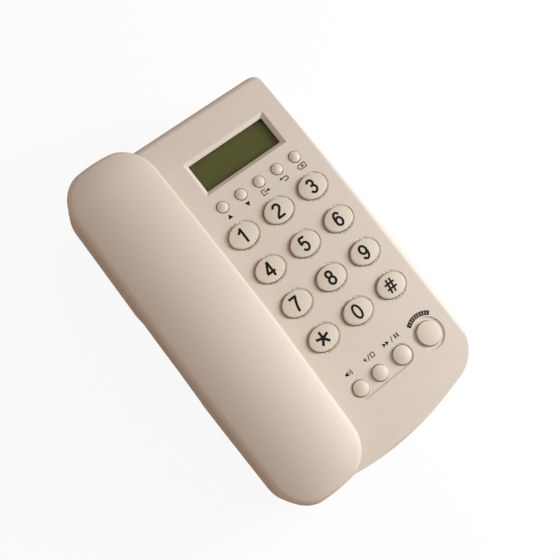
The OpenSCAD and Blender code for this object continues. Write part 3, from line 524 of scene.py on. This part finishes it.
def band(path, width):
    """A flat band of one width along a path, or round it where its two ends meet."""
    longest_step, sharpest_mitre = 0.7 * MM, 0.5
    path = dense(path, longest_step)
    closed = math.hypot(path[0][0] - path[-1][0], path[0][1] - path[-1][1]) < SAME_PLACE
    free_hands()
    bpy.ops.mesh.primitive_grid_add(x_subdivisions=len(path) - 1, y_subdivisions=1, size=2,
                                    location=(0, 0, 0))
    obj = bpy.context.object
    rows = {-1: [], 1: []}
    for v in obj.data.vertices:
        rows[-1 if v.co.y < 0 else 1].append(v)
    for side, row in rows.items():
        row.sort(key=lambda v: v.co.x)
        for i, v in enumerate(row):
            before = path[i - 1] if i else path[-2] if closed else path[0]
            after = path[i + 1] if i + 1 < len(path) else path[1] if closed else path[-1]
            here = Vector(path[i])
            ways = [w.normalized() for w in (here - Vector(before), Vector(after) - here)
                    if w.length > 1e-9]
            way = sum(ways, Vector((0, 0))).normalized()
            # a mitre, so that the band keeps its width round a bend
            reach_out = width / 2 / max(sharpest_mitre, way.dot(ways[0]))
            v.co = (here.x - side * way.y * reach_out, here.y + side * way.x * reach_out, 0)
    return obj


def flat_shape(corners):
    """A flat shape with the given corners, from a circle's."""
    free_hands()
    bpy.ops.mesh.primitive_circle_add(vertices=len(corners), radius=1, fill_type="NGON",
                                      location=(0, 0, 0))
    obj = bpy.context.object
    for v, (x, y) in zip(obj.data.vertices, corners):
        v.co = (x, y, 0)
    return obj


def printed(name, ink, body, place, pieces, dome=None, aside=0):
    """Gives flat pieces the print's thickness and lays them on the face or on a domed cap.

    place is a point of the face and a level over it; aside is a shift from there along X.
    """
    rise = bpy.context.scene.deskphone_sizes.print_rise
    sunk = 0.05 * MM  # how far the print reaches into what it is printed on
    x0, y0, level = place
    take(*pieces)
    if len(pieces) > 1:
        bpy.ops.object.join()
    obj = named(name)
    edit_all(obj)
    bpy.ops.mesh.remove_doubles(threshold=SAME_PLACE)
    bpy.ops.mesh.extrude_region_move(TRANSFORM_OT_translate={"value": (0, 0, rise + sunk)})
    bpy.ops.mesh.select_all(action="SELECT")
    bpy.ops.mesh.normals_make_consistent(inside=False)
    leave()
    for v in obj.data.vertices:
        v.co.x += aside
        v.co.z += (dome_height(dome, v.co.x, v.co.y) if dome else level) - sunk
    settle(obj, FACE @ Matrix.Translation((x0, y0, 0)))
    return finish_piece(obj, material(ink), "black_plastic", body)


def glyph_paths():
    """The digits' centre lines, about the middle of a digit that is one unit high."""
    half, top = 0.215, 0.4225
    six = [arc(0, -0.16, half, 0.2625, 0, 360, 36),
           arc(0.03, 0, 0.245, top, 35, 180, 24) + [(-half, -0.16)]]
    return {
        "0": [arc(0, 0, 0.235, 0.44, 0, 360, 40)],
        "1": [[(0.07, -0.5), (0.07, 0.5)], [(0.07, 0.4), (-0.2, 0.19)]],
        "2": [arc(0, 0.205, 0.212, 0.2175, 172, -38) + [(-0.1, -0.21), (-0.19, -0.34),
                                                       (-0.215, -top)],
              [(-0.29, -top), (0.28, -top)]],
        "3": [arc(-0.01, 0.2225, 0.19, 0.2, 165, -85), [(-0.1, 0.0275), (0.01, 0.0275)],
              arc(-0.005, -0.195, half, 0.2275, 85, -165)],
        "4": [[(0.11, 0.46), (-0.25, -0.17)], [(-0.3, -0.2), (0.3, -0.2)],
              [(0.12, 0.5), (0.12, -0.5)]],
        "5": [[(-0.16, top), (0.25, top)], [(-0.14, top), (-0.19, 0.02)],
              arc(0, -0.155, half, 0.2675, 150, -160)],
        "6": six,
        "7": [[(-0.26, top), (0.28, top)],
              [(0.22, top), (0.1, 0.2), (0.0, -0.05), (-0.06, -0.28), (-0.085, -0.5)]],
        "8": [arc(0, 0.225, 0.185, 0.1975, 0, 360, 32),
              arc(0, -0.195, half, 0.2275, 0, 360, 36)],
        "9": [[(-x, -y) for x, y in path] for path in six],
        "*": [[(0, 0), (0.46 * math.cos(math.radians(90 + 72 * k)),
                        0.46 * math.sin(math.radians(90 + 72 * k)))] for k in range(5)],
        "#": [[(x - 0.07, -0.46), (x + 0.07, 0.46)] for x in (-0.13, 0.13)]
             + [[(-0.36, y), (0.36, y)] for y in (-0.16, 0.16)],
    }


class DESKPHONE_OT_number_keys(Piece, bpy.types.Operator):
    """Makes the twelve oval number keys, with rounded rims, domed tops and printed signs"""
    bl_idname = "deskphone.number_keys"
    bl_label = "Number Keys"

    def execute(self, context):
        s = context.scene.deskphone_sizes
        glyphs = glyph_paths()
        tall, aside, sides = s.digit_height, -0.6 * MM, 72
        # the star's arms are thicker; the hash is thinner, or its squares would fill
        weights = {"key_hash": 0.82, "key_star": 1.08, "key_0": 0.92}
        for node in NUMBER_KEYS:
            rings, dome = cap_rings(node, s.key_round, s.key_crown, (0.8, 0.6, 0.4, 0.2, 0.03))
            cap = ellipse_loft("cap_" + node, rings, sides)
            at = middle(node, FACE)
            settle(cap, FACE @ Matrix.Translation((at.x, at.y, 0)))
            finish_piece(cap, material("moulded_abs_keys"), "key_cream", body_of(node), node)
            smooth(cap, degrees=40)
            stroke = s.digit_stroke * weights.get(node, 1)
            bands = [band([(x * tall, y * tall) for x, y in path], stroke)
                     for path in glyphs[KEY_SIGNS[node]]]
            printed("print_" + node, "pad_printed_ink", body_of(node),
                    (at.x, at.y, 0), bands, dome, aside)
        return {"FINISHED"}


class DESKPHONE_OT_round_buttons(Piece, bpy.types.Operator):
    """Makes the nine round buttons, with softly domed tops"""
    bl_idname = "deskphone.round_buttons"
    bl_label = "Round Buttons"

    def execute(self, context):
        s = context.scene.deskphone_sizes
        rounding, flatter, sides = 0.35 * MM, 0.6, 64
        shares = (0.88, 0.76, 0.63, 0.5, 0.37, 0.24, 0.12, 0.03)
        for node in ROUND_BUTTONS:
            # the speaker button is wider, and flatter for its width
            crown = s.button_crown * (flatter if node == "button_speaker" else 1)
            rings, _ = cap_rings(node, rounding, crown, shares)
            cap = ellipse_loft("cap_" + node, rings, sides)
            at = middle(node, FACE)
            settle(cap, FACE @ Matrix.Translation((at.x, at.y, 0)))
            finish_piece(cap, material("moulded_abs_keys"), "key_cream", body_of(node), node)
            smooth(cap, degrees=50)
        return {"FINISHED"}


class DESKPHONE_OT_printed_signs(Piece, bpy.types.Operator):
    """Prints plain signs by the round buttons, and a band of marks over the widest one"""
    bl_idname = "deskphone.printed_signs"
    bl_label = "Printed Signs"

    def execute(self, context):
        s = context.scene.deskphone_sizes
        u = s.icon_size / 2
        line = 0.42 * MM
        # the signs' middles, from their buttons' middles
        below, above = 5.8 * MM, 9.0 * MM

        def shape(*corners):
            return flat_shape([(x * u, y * u) for x, y in corners])

        def thin(*points, wide=1.0):
            return band([(x * u, y * u) for x, y in points], line * wide)

        def curve(cx, cy, r, start, end):
            return band([(x * u, y * u) for x, y in arc(cx, cy, r, r, start, end)], line)

        def slash(x):
            return thin((x - 0.45, -1.1), (x + 0.45, 1.1))

        signs = {
            "button_up": lambda: [shape((-1.1, -0.8), (1.1, -0.8), (0, 1))],
            "button_down": lambda: [shape((1.1, 0.8), (-1.1, 0.8), (0, -1))],
            # out of a frame, to the right
            "button_out": lambda: [thin((0.1, 1), (-1.9, 1), (-1.9, -1), (0.1, -1)),
                                   thin((-1, 0), (0.9, 0), wide=1.2),
                                   shape((0.7, -0.7), (1.9, 0), (0.7, 0.7))],
            # back, round a bend
            "button_back": lambda: [band([(x * u, y * u) for x, y in
                                          [(-1, 0.45)] + [(1, 0.45)]
                                          + arc(1, -0.25, 0.7, 0.7, 90, -90) + [(-0.4, -0.95)]],
                                         line * 1.2),
                                    shape((-0.9, 1.1), (-2, 0.45), (-0.9, -0.2))],
            # a backspace mark: a cross in a pointed frame
            "button_delete": lambda: [thin((-2, 0), (-1, 1), (1.8, 1), (1.8, -1), (-1, -1),
                                           (-2, 0)),
                                      thin((-0.3, -0.5), (0.9, 0.5)),
                                      thin((-0.3, 0.5), (0.9, -0.5))],
            # a loudspeaker with two waves
            "button_volume": lambda: [shape((-1.9, -0.4), (-1.3, -0.4), (-0.5, -1), (-0.5, 1),
                                            (-1.3, 0.4), (-1.9, 0.4)),
                                      curve(-0.5, 0, 0.8, -50, 50), curve(-0.5, 0, 1.6, -42, 42)],
            # a flash, then a square
            "button_flash": lambda: [shape((-1.7, -1.1), (-0.9, 0.25), (-1.6, 0.15), (-1.5, 1.1),
                                           (-2.5, -0.1), (-1.8, -0.05)),
                                     slash(0),
                                     thin((1.1, -0.8), (2.7, -0.8), (2.7, 0.8), (1.1, 0.8),
                                          (1.1, -0.8))],
            # two arrows, then two bars
            "button_redial": lambda: [shape((-3.9, -0.9), (-2.5, 0), (-3.9, 0.9)),
                                      shape((-2.4, -0.9), (-1, 0), (-2.4, 0.9)),
                                      slash(0.5),
                                      shape((2, -0.9), (2.6, -0.9), (2.6, 0.9), (2, 0.9)),
                                      shape((3.2, -0.9), (3.8, -0.9), (3.8, 0.9), (3.2, 0.9))],
        }
        for node, draw in signs.items():
            at = middle(node, FACE)
            y = at.y - below if node in SMALL_BUTTONS else at.y + above
            printed("sign_" + node, "pad_printed_ink", "base", (at.x, y, 0), draw())

        # the band: a ring's part, with pale marks like a sound level
        at = middle("button_speaker", FACE)
        inner, outer, first, last = 9.0 * MM, 11.3 * MM, 48, 128
        mid, deep = (inner + outer) / 2, outer - inner
        ring = band(arc(0, 0, mid, mid, first, last, steps=40), deep)
        printed("sign_band", "pad_printed_brown", "base", (at.x, at.y, 0), [ring])
        marks = []
        heights = (0.3, 0.6, 0.42, 0.72, 0.5, 0.72, 0.42, 0.6, 0.3)
        for k, share in enumerate(heights):
            turn = math.radians(first + (last - first) * (k + 1) / (len(heights) + 1))
            way = Vector((math.cos(turn), math.sin(turn)))
            ends = [way * (mid - deep * share / 2), way * (mid + deep * share / 2)]
            marks.append(band([tuple(e) for e in ends], line))
        printed("sign_band_marks", "pad_printed_cream", "base", (at.x, at.y, s.print_rise),
                marks)
        return {"FINISHED"}


def back_height(x, y, peak, half_len, s):
    """The height of the handset's back over its seam: arched across, and swept along."""
    across = s.shell_ridge - math.sqrt(s.shell_ridge ** 2 - x * x)
    along = s.shell_crown * (y / half_len) ** 2
    over = max(0, abs(y) - (half_len - s.shell_end)) / s.shell_end
    return peak - across - along - s.shell_drop * over ** 2


class DESKPHONE_OT_handset(Piece, bpy.types.Operator):
    """Makes the handset's crowned back shell, and finishes the shell that faces the base"""
    bl_idname = "deskphone.handset"
    bl_label = "Handset"

    def execute(self, context):
        s = context.scene.deskphone_sizes
        low, high = reach("handset_outer_shell", HANDSET)
        half_w, half_len, peak = (high.x - low.x) / 2, (high.y - low.y) / 2, high.z
        lip = 0.1 * MM
        # where along it the handset is widest, and how far its sides draw in to each end
        widest, mouth_draw, ear_draw, draw_power = -15 * MM, 1.2 * MM, 1.6 * MM, 1.3
        corner_steps, side_cuts, end_cuts, inward_steps = 14, 19, 5, 12

        # a rectangle with rounded corners and cut sides, then bowed at its sides and ends
        free_hands()
        bpy.ops.mesh.primitive_plane_add(size=2, location=(0, 0, 0))
        shell = named("handset_back")
        edit_all(shell, "VERT")
        bpy.ops.transform.resize(value=(half_w, half_len - s.shell_bow, 1),
                                 center_override=(0, 0, 0))
        bpy.ops.mesh.bevel(offset=s.shell_corner, segments=corner_steps, affect="VERTICES")
        pick(shell, "EDGE", lambda e: edge_run(shell, e).length > half_len / 3)
        bpy.ops.mesh.subdivide(number_cuts=side_cuts)
        pick(shell, "EDGE", lambda e: abs(edge_run(shell, e).x) > half_w / 5)
        bpy.ops.mesh.subdivide(number_cuts=end_cuts)
        leave()
        for v in shell.data.vertices:
            x, y = v.co.x, v.co.y
            draw = mouth_draw if y < widest else ear_draw
            along = abs(y - widest) / (half_len + (widest if y < widest else -widest))
            bow = s.shell_bow * (1 - (x / half_w) ** 2) * y / (half_len - s.shell_bow)
            v.co.x = x * (1 - draw / half_w * along ** draw_power)
            v.co.y = y + bow
            v.co.z = lip

        # rings up the wall, round the shoulder and inwards to the ridge: (inset, share of
        # the wall's height, drop from the back's surface)
        r = s.shell_shoulder
        rings = [(0, 0, r), (0, 0.5, r), (0, 1, r)]
        rings += [(r * (1 - math.cos(math.radians(t))), 1, r * (1 - math.sin(math.radians(t))))
                  for t in (12, 24, 36, 48, 60, 75)]
        rings += [(r + (half_w - r) * k / inward_steps, 1, 0) for k in range(inward_steps + 1)]
        # each ring is first raised to a level of its own, by which it is known again
        step, slit, rim_angle = 1 * MM, 0.01, 50
        closed_gap = 0.01 * MM
        pick(shell, "FACE", lambda f: True)
        raise_rings([(max(slit, 1 - inset / half_w), 1 - inset / half_len, lip + k * step)
                     for k, (inset, _, _) in enumerate(rings)])
        top = lip + (len(rings) - 1) * step
        levels = [[shell.data.vertices[i].co.z for i in f.vertices] for f in shell.data.polygons]
        closing = {f.index for f, zs in zip(shell.data.polygons, levels)
                   if min(zs) > top - step / 2 or max(zs) < lip + step / 2}
        pick(shell, "FACE", lambda f: f.index in closing)
        bpy.ops.mesh.delete(type="FACE")
        leave()
        for v in shell.data.vertices:
            k = round((v.co.z - lip) / step)
            _, share, drop = rings[k]
            # the last ring closes on the ridge
            if k == len(rings) - 1:
                v.co.x = 0
            height = back_height(v.co.x, v.co.y, peak, half_len, s) - drop
            v.co.z = lip + share * (height - lip)
        edit_all(shell)
        bpy.ops.mesh.remove_doubles(threshold=closed_gap)
        bpy.ops.mesh.normals_make_consistent(inside=False)
        leave()
        modify(shell, "SOLIDIFY", thickness=s.shell_thickness, offset=-1, use_even_offset=False)
        modify(shell, "BEVEL", width=s.casing_edge, segments=2, limit_method="ANGLE",
               angle_limit=math.radians(rim_angle))
        settle(shell, HANDSET)
        finish_piece(shell, material("moulded_abs_handset"), "casing_cream",
                     body_of("handset_outer_shell"), "handset_outer_shell")
        smooth(shell, degrees=40)

        front = moulded_copy("handset_inner_shell", "handset_front", s.casing_edge)
        finish_piece(front, material("moulded_abs_handset"), "casing_cream",
                     body_of("handset_inner_shell"), "handset_inner_shell")
        return {"FINISHED"}


def slope_dishes(case):
    """Makes the steep-walled dishes in the face into slopes that run down to their holes."""
    recess, lift, lean, level_play = 0.6 * MM, 0.56 * MM, 0.4 * MM, 0.02 * MM
    # the outlines of the speaker's dish and of the row's, from their middle and middle line
    speaker_rim, row_rim = (7.4 * MM, 9 * MM), (5.2 * MM, 7 * MM)
    oval_rim = 1.25
    # the shares of the lean that all walls have, and that the handset's side adds
    speaker_lean, speaker_more, row_lean, row_more = 0.6, 0.4, 0.3, 1.9
    back = FACE.inverted()
    places = [back @ v.co for v in case.data.vertices]
    dished = {i for i, p in enumerate(places) if abs(p.z + recess) < level_play}
    ovals = []
    for node in NUMBER_KEYS:
        low, high = reach(node, FACE)
        ovals.append(((low + high) / 2, (high.x - low.x) / 2, (high.y - low.y) / 2))

    def rim_share(p, oval):
        """1 at the hidden flange's edge, less inside it, more outside."""
        at, w, d = oval
        return math.hypot((p.x - at.x) / w, (p.y - at.y) / d)

    # the flange reaches the middle of the dish, so it parts the dish's two outlines
    for i in dished:
        p = places[i]
        if any(1 < rim_share(p, oval) < oval_rim for oval in ovals):
            case.data.vertices[i].co = FACE @ (p + Vector((0, 0, lift)))
    for oval in ovals:
        def in_dish(f):
            return all(i in dished and rim_share(places[i], oval) < oval_rim for i in f.vertices)
        pick(case, "FACE", in_dish)
        bpy.ops.mesh.delete(type="FACE")
        bpy.ops.mesh.select_mode(type="EDGE")
        bpy.ops.mesh.select_non_manifold(extend=False, use_wire=False, use_boundary=True,
                                         use_multi_face=False, use_non_contiguous=False,
                                         use_verts=False)
        bpy.ops.mesh.bridge_edge_loops()
        leave()

    speaker = middle("button_speaker", FACE)
    ends = [middle(n, FACE) for n in ("button_volume", "button_redial")]
    for i in dished:
        p = places[i].copy()
        out = Vector((p.x - speaker.x, p.y - speaker.y)).length
        along = min(max(p.x, ends[0].x), ends[1].x)
        away = Vector((p.x - along, p.y - ends[0].y))
        # these two have flat floors; their walls lean out most on the handset's side
        if speaker_rim[0] < out < speaker_rim[1]:
            way = Vector((p.x - speaker.x, p.y - speaker.y)).normalized()
            p.x, p.y = (Vector(p[:2])
                        - way * lean * (speaker_lean - speaker_more * way.x))[:]
        elif row_rim[0] < away.length < row_rim[1]:
            way = away.normalized()
            p.x, p.y = (Vector(p[:2])
                        - way * lean * (row_lean + row_more * max(0, -way.x)))[:]
        else:
            continue
        case.data.vertices[i].co = FACE @ p


class DESKPHONE_OT_base(Piece, bpy.types.Operator):
    """Makes the base's upper and lower casings and its feet, with softened moulded edges"""
    bl_idname = "deskphone.base"
    bl_label = "Base"

    def execute(self, context):
        s = context.scene.deskphone_sizes
        foot_edge, hook_edge = 0.3 * MM, 0.4 * MM
        top = moulded_copy("base_top_case", "base_top", s.casing_edge, reshape=slope_dishes,
                           soft=21)
        finish_piece(top, material("moulded_abs_casing"), "casing_cream",
                     body_of("base_top_case"), "base_top_case")
        bottom = moulded_copy("base_bottom_case", "base_bottom", s.casing_edge)
        finish_piece(bottom, material("textured_abs_underside"), "underside_cream",
                     body_of("base_bottom_case"), "base_bottom_case")
        feet = moulded_copy("rubber_feet", "feet", foot_edge)
        finish_piece(feet, material("moulded_black_rubber"), "black_rubber",
                     body_of("rubber_feet"), "rubber_feet")
        hook = moulded_copy("hook_plunger", "hook", hook_edge)
        finish_piece(hook, material("moulded_abs_keys"), "key_cream",
                     body_of("hook_plunger"), "hook_plunger")
        return {"FINISHED"}


def level_pegs(mat):
    """Sinks the plain pegs of the contact mat into its sheet."""
    back = FACE.inverted()
    places = [back @ v.co for v in mat.data.vertices]
    sheet = sorted({round(p.z / MM, 2) for p in places})[1] * MM
    for vertex, p in zip(mat.data.vertices, places):
        if p.z > sheet:
            vertex.co = FACE @ Vector((p.x, p.y, sheet))
    edit_all(mat)
    bpy.ops.mesh.remove_doubles(threshold=SAME_PLACE)
    leave()


class DESKPHONE_OT_contact_mat(Piece, bpy.types.Operator):
    """Makes the rubber contact mat: its sheet, and a dome under each key and button"""
    bl_idname = "deskphone.contact_mat"
    bl_label = "Contact Mat"

    def execute(self, context):
        sheet = moulded_copy("keypad_mat", "mat_sheet", 0, reshape=level_pegs)
        body = body_of("keypad_mat")
        finish_piece(sheet, material("moulded_silicone"), "mat_rubber", body, "keypad_mat")
        back = FACE.inverted()
        foot = max((back @ v.co).z for v in sheet.data.vertices)
        points = [back @ v.co for v in NODES["keypad_mat"].data.vertices]
        top = max(p.z for p in points)
        tall, sides, slack, level_play = top - foot, 32, 0.97, 0.01 * MM
        tops = [p for p in points if p.z > top - level_play]
        # shares of a dome's width and height: a skirt that leans in, then the plunger
        outline = ((1, 0), (0.94, 0.12), (0.72, 0.55), (0.68, 0.62), (0.68, 0.96), (0.62, 1))
        for node in NUMBER_KEYS + ROUND_BUTTONS:
            at = middle(node, FACE)
            wide = min((Vector(p[:2]) - Vector(at[:2])).length for p in tops)
            dome = ellipse_loft("dome_" + node, [(wide * across, wide * across, foot + tall * up)
                                                 for across, up in outline], sides)
            settle(dome, FACE @ Matrix.Translation((at.x, at.y, 0)))
            finish_piece(dome, material("moulded_silicone"), "mat_rubber", body)
            smooth(dome, degrees=30)
            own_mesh(dome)
        return {"FINISHED"}


class DESKPHONE_OT_inner_pieces(Piece, bpy.types.Operator):
    """Gives the display, the board and the other pieces inside their materials"""
    bl_idname = "deskphone.inner_pieces"
    bl_label = "Inner Pieces"

    def execute(self, context):
        finishes = {
            "display_window": "polished_acrylic_window",
            "lcd_panel": "polariser_film",
            "lcd_frame": "moulded_black_polycarbonate",
            "main_board": "solder_mask_board",
            "hook_switch": "moulded_black_polycarbonate",
            "line_socket": "moulded_black_polycarbonate",
            "base_cord_socket": "moulded_black_polycarbonate",
            "handset_cord_socket": "moulded_black_polycarbonate",
            "receiver_gasket": "moulded_black_rubber",
            "microphone_boot": "moulded_black_rubber",
        }
        for node in ("loudspeaker", "loudspeaker_clamp", "ballast_plate", "case_screws",
                     "board_screws", "clamp_screws", "receiver_capsule", "microphone_capsule",
                     "handset_weight", "handset_screws"):
            finishes[node] = "zinc_plated_steel"
        for node, name in finishes.items():
            slots = NODES[node].material_slots
            if not slots:
                NODES[node].data.materials.append(material(name))
            for place in slots:
                place.material = material(name)
        return {"FINISHED"}


class DESKPHONE_OT_stage(Piece, bpy.types.Operator):
    """Sets the floor, the pale surroundings, the lamp and the camera"""
    bl_idname = "deskphone.stage"
    bl_label = "Stage"

    def execute(self, context):
        scene = context.scene
        # the floor lies just under the feet, whose faces would flicker in one plane with it
        floor_size, floor_level, floor_glow = 6, -0.1 * MM, 0.91
        free_hands()
        bpy.ops.mesh.primitive_plane_add(size=floor_size, location=(0, 0, floor_level))
        floor = named("floor")
        paper = blank_material("white_paper_floor")
        tree = paper.node_tree
        path = add_node(tree, "ShaderNodeLightPath")
        place = add_node(tree, "ShaderNodeTexCoord")
        tooth = add_node(tree, "ShaderNodeTexNoise", {"Scale": 1 / (1.5 * MM)},
                         {"Vector": place.outputs["Object"]})
        tone = add_node(tree, "ShaderNodeMix", {"data_type": "RGBA", 6: linear("#FBFBFB"),
                                                7: linear("#FFFFFF")}, {0: tooth.outputs["Fac"]})
        # what the floor throws back on to the object is darker and warmer than it looks
        thrown = add_node(tree, "ShaderNodeMix", {"data_type": "RGBA", 6: linear("#C2A98E")},
                          {0: path.outputs["Is Camera Ray"], 7: tone.outputs[2]})
        lit = add_node(tree, "ShaderNodeBsdfDiffuse", None, {"Color": thrown.outputs[2]})
        plain = add_node(tree, "ShaderNodeEmission", {"Color": (1, 1, 1, 1), "Strength": 1.0})
        share = add_node(tree, "ShaderNodeMath", {"operation": "MULTIPLY", 1: floor_glow},
                         {0: path.outputs["Is Camera Ray"]})
        mixed = add_node(tree, "ShaderNodeMixShader", None,
                         {0: share.outputs[0], 1: lit.outputs[0], 2: plain.outputs[0]})
        add_node(tree, "ShaderNodeOutputMaterial", None, {"Surface": mixed.outputs[0]})
        floor.data.materials.append(paper)

        world = bpy.data.worlds.new("pale_room")
        world.use_nodes = True
        tree = world.node_tree
        tree.nodes.clear()
        path = add_node(tree, "ShaderNodeLightPath")
        seen = add_node(tree, "ShaderNodeMath", {"operation": "ADD"},
                        {0: path.outputs["Is Camera Ray"], 1: path.outputs["Is Glossy Ray"]})
        seen = add_node(tree, "ShaderNodeMath", {"operation": "ADD", "use_clamp": True},
                        {0: seen.outputs[0], 1: path.outputs["Is Transmission Ray"]})
        room = add_node(tree, "ShaderNodeBackground", {"Color": linear("#FFEFE3"),
                                                       "Strength": 0.47})
        white = add_node(tree, "ShaderNodeBackground", {"Color": (1, 1, 1, 1), "Strength": 1.0})
        mixed = add_node(tree, "ShaderNodeMixShader", None,
                         {0: seen.outputs[0], 1: room.outputs[0], 2: white.outputs[0]})
        add_node(tree, "ShaderNodeOutputWorld", None, {"Surface": mixed.outputs[0]})
        scene.world = world

        # a low soft lamp at the front right, a little cooler than the room
        bearing, lift, distance = math.radians(-24), math.radians(25), 0.62
        way = Vector((math.cos(lift) * math.cos(bearing), math.cos(lift) * math.sin(bearing),
                      math.sin(lift)))
        free_hands()
        bpy.ops.object.light_add(type="AREA", location=way * distance)
        key = context.object
        key.name = "key_lamp"
        key.rotation_euler = way.to_track_quat("Z", "Y").to_euler()
        key.data.energy = 4.4
        key.data.size = 0.3
        key.data.color = (0.9, 0.965, 1.0)

        bpy.ops.object.camera_add(location=Vector((-104.34, -74.38, 415.1)) * MM,
                                  rotation=[math.radians(a) for a in (18.142, -5.248, -39.08)])
        camera = bpy.context.object
        camera.name = "camera"
        camera.data.sensor_width = 36
        camera.data.lens = 54.64
        camera.data.clip_start = 0.01
        scene.camera = camera
        scene.view_settings.view_transform = "Standard"
        return {"FINISHED"}


class DESKPHONE_PT_panel(bpy.types.Panel):
    bl_label = "Desk Phone"
    bl_idname = "DESKPHONE_PT_panel"
    bl_space_type = "VIEW_3D"
    bl_region_type = "UI"
    bl_category = "Desk Phone"

    def draw(self, context):
        for step in STEPS:
            self.layout.operator(step.bl_idname)
        for group in (context.scene.deskphone_sizes, context.scene.deskphone_colours):
            box = self.layout.box()
            for name in group.__annotations__:
                box.prop(group, name)


STEPS = (
    DESKPHONE_OT_base,
    DESKPHONE_OT_contact_mat,
    DESKPHONE_OT_inner_pieces,
    DESKPHONE_OT_number_keys,
    DESKPHONE_OT_round_buttons,
    DESKPHONE_OT_printed_signs,
    DESKPHONE_OT_handset,
    DESKPHONE_OT_stage,
)
CLASSES = (DESKPHONE_PG_sizes, DESKPHONE_PG_colours) + STEPS + (DESKPHONE_PT_panel,)


def register():
    for cls in CLASSES:
        bpy.utils.register_class(cls)
    bpy.types.Scene.deskphone_sizes = bpy.props.PointerProperty(type=DESKPHONE_PG_sizes)
    bpy.types.Scene.deskphone_colours = bpy.props.PointerProperty(type=DESKPHONE_PG_colours)


def unregister():
    del bpy.types.Scene.deskphone_colours
    del bpy.types.Scene.deskphone_sizes
    for cls in reversed(CLASSES):
        bpy.utils.unregister_class(cls)


def main():
    register()
    make_materials()
    for step in STEPS:
        group, name = step.bl_idname.split(".")
        getattr(getattr(bpy.ops, group), name)()


if __name__ == "__main__":
    main()
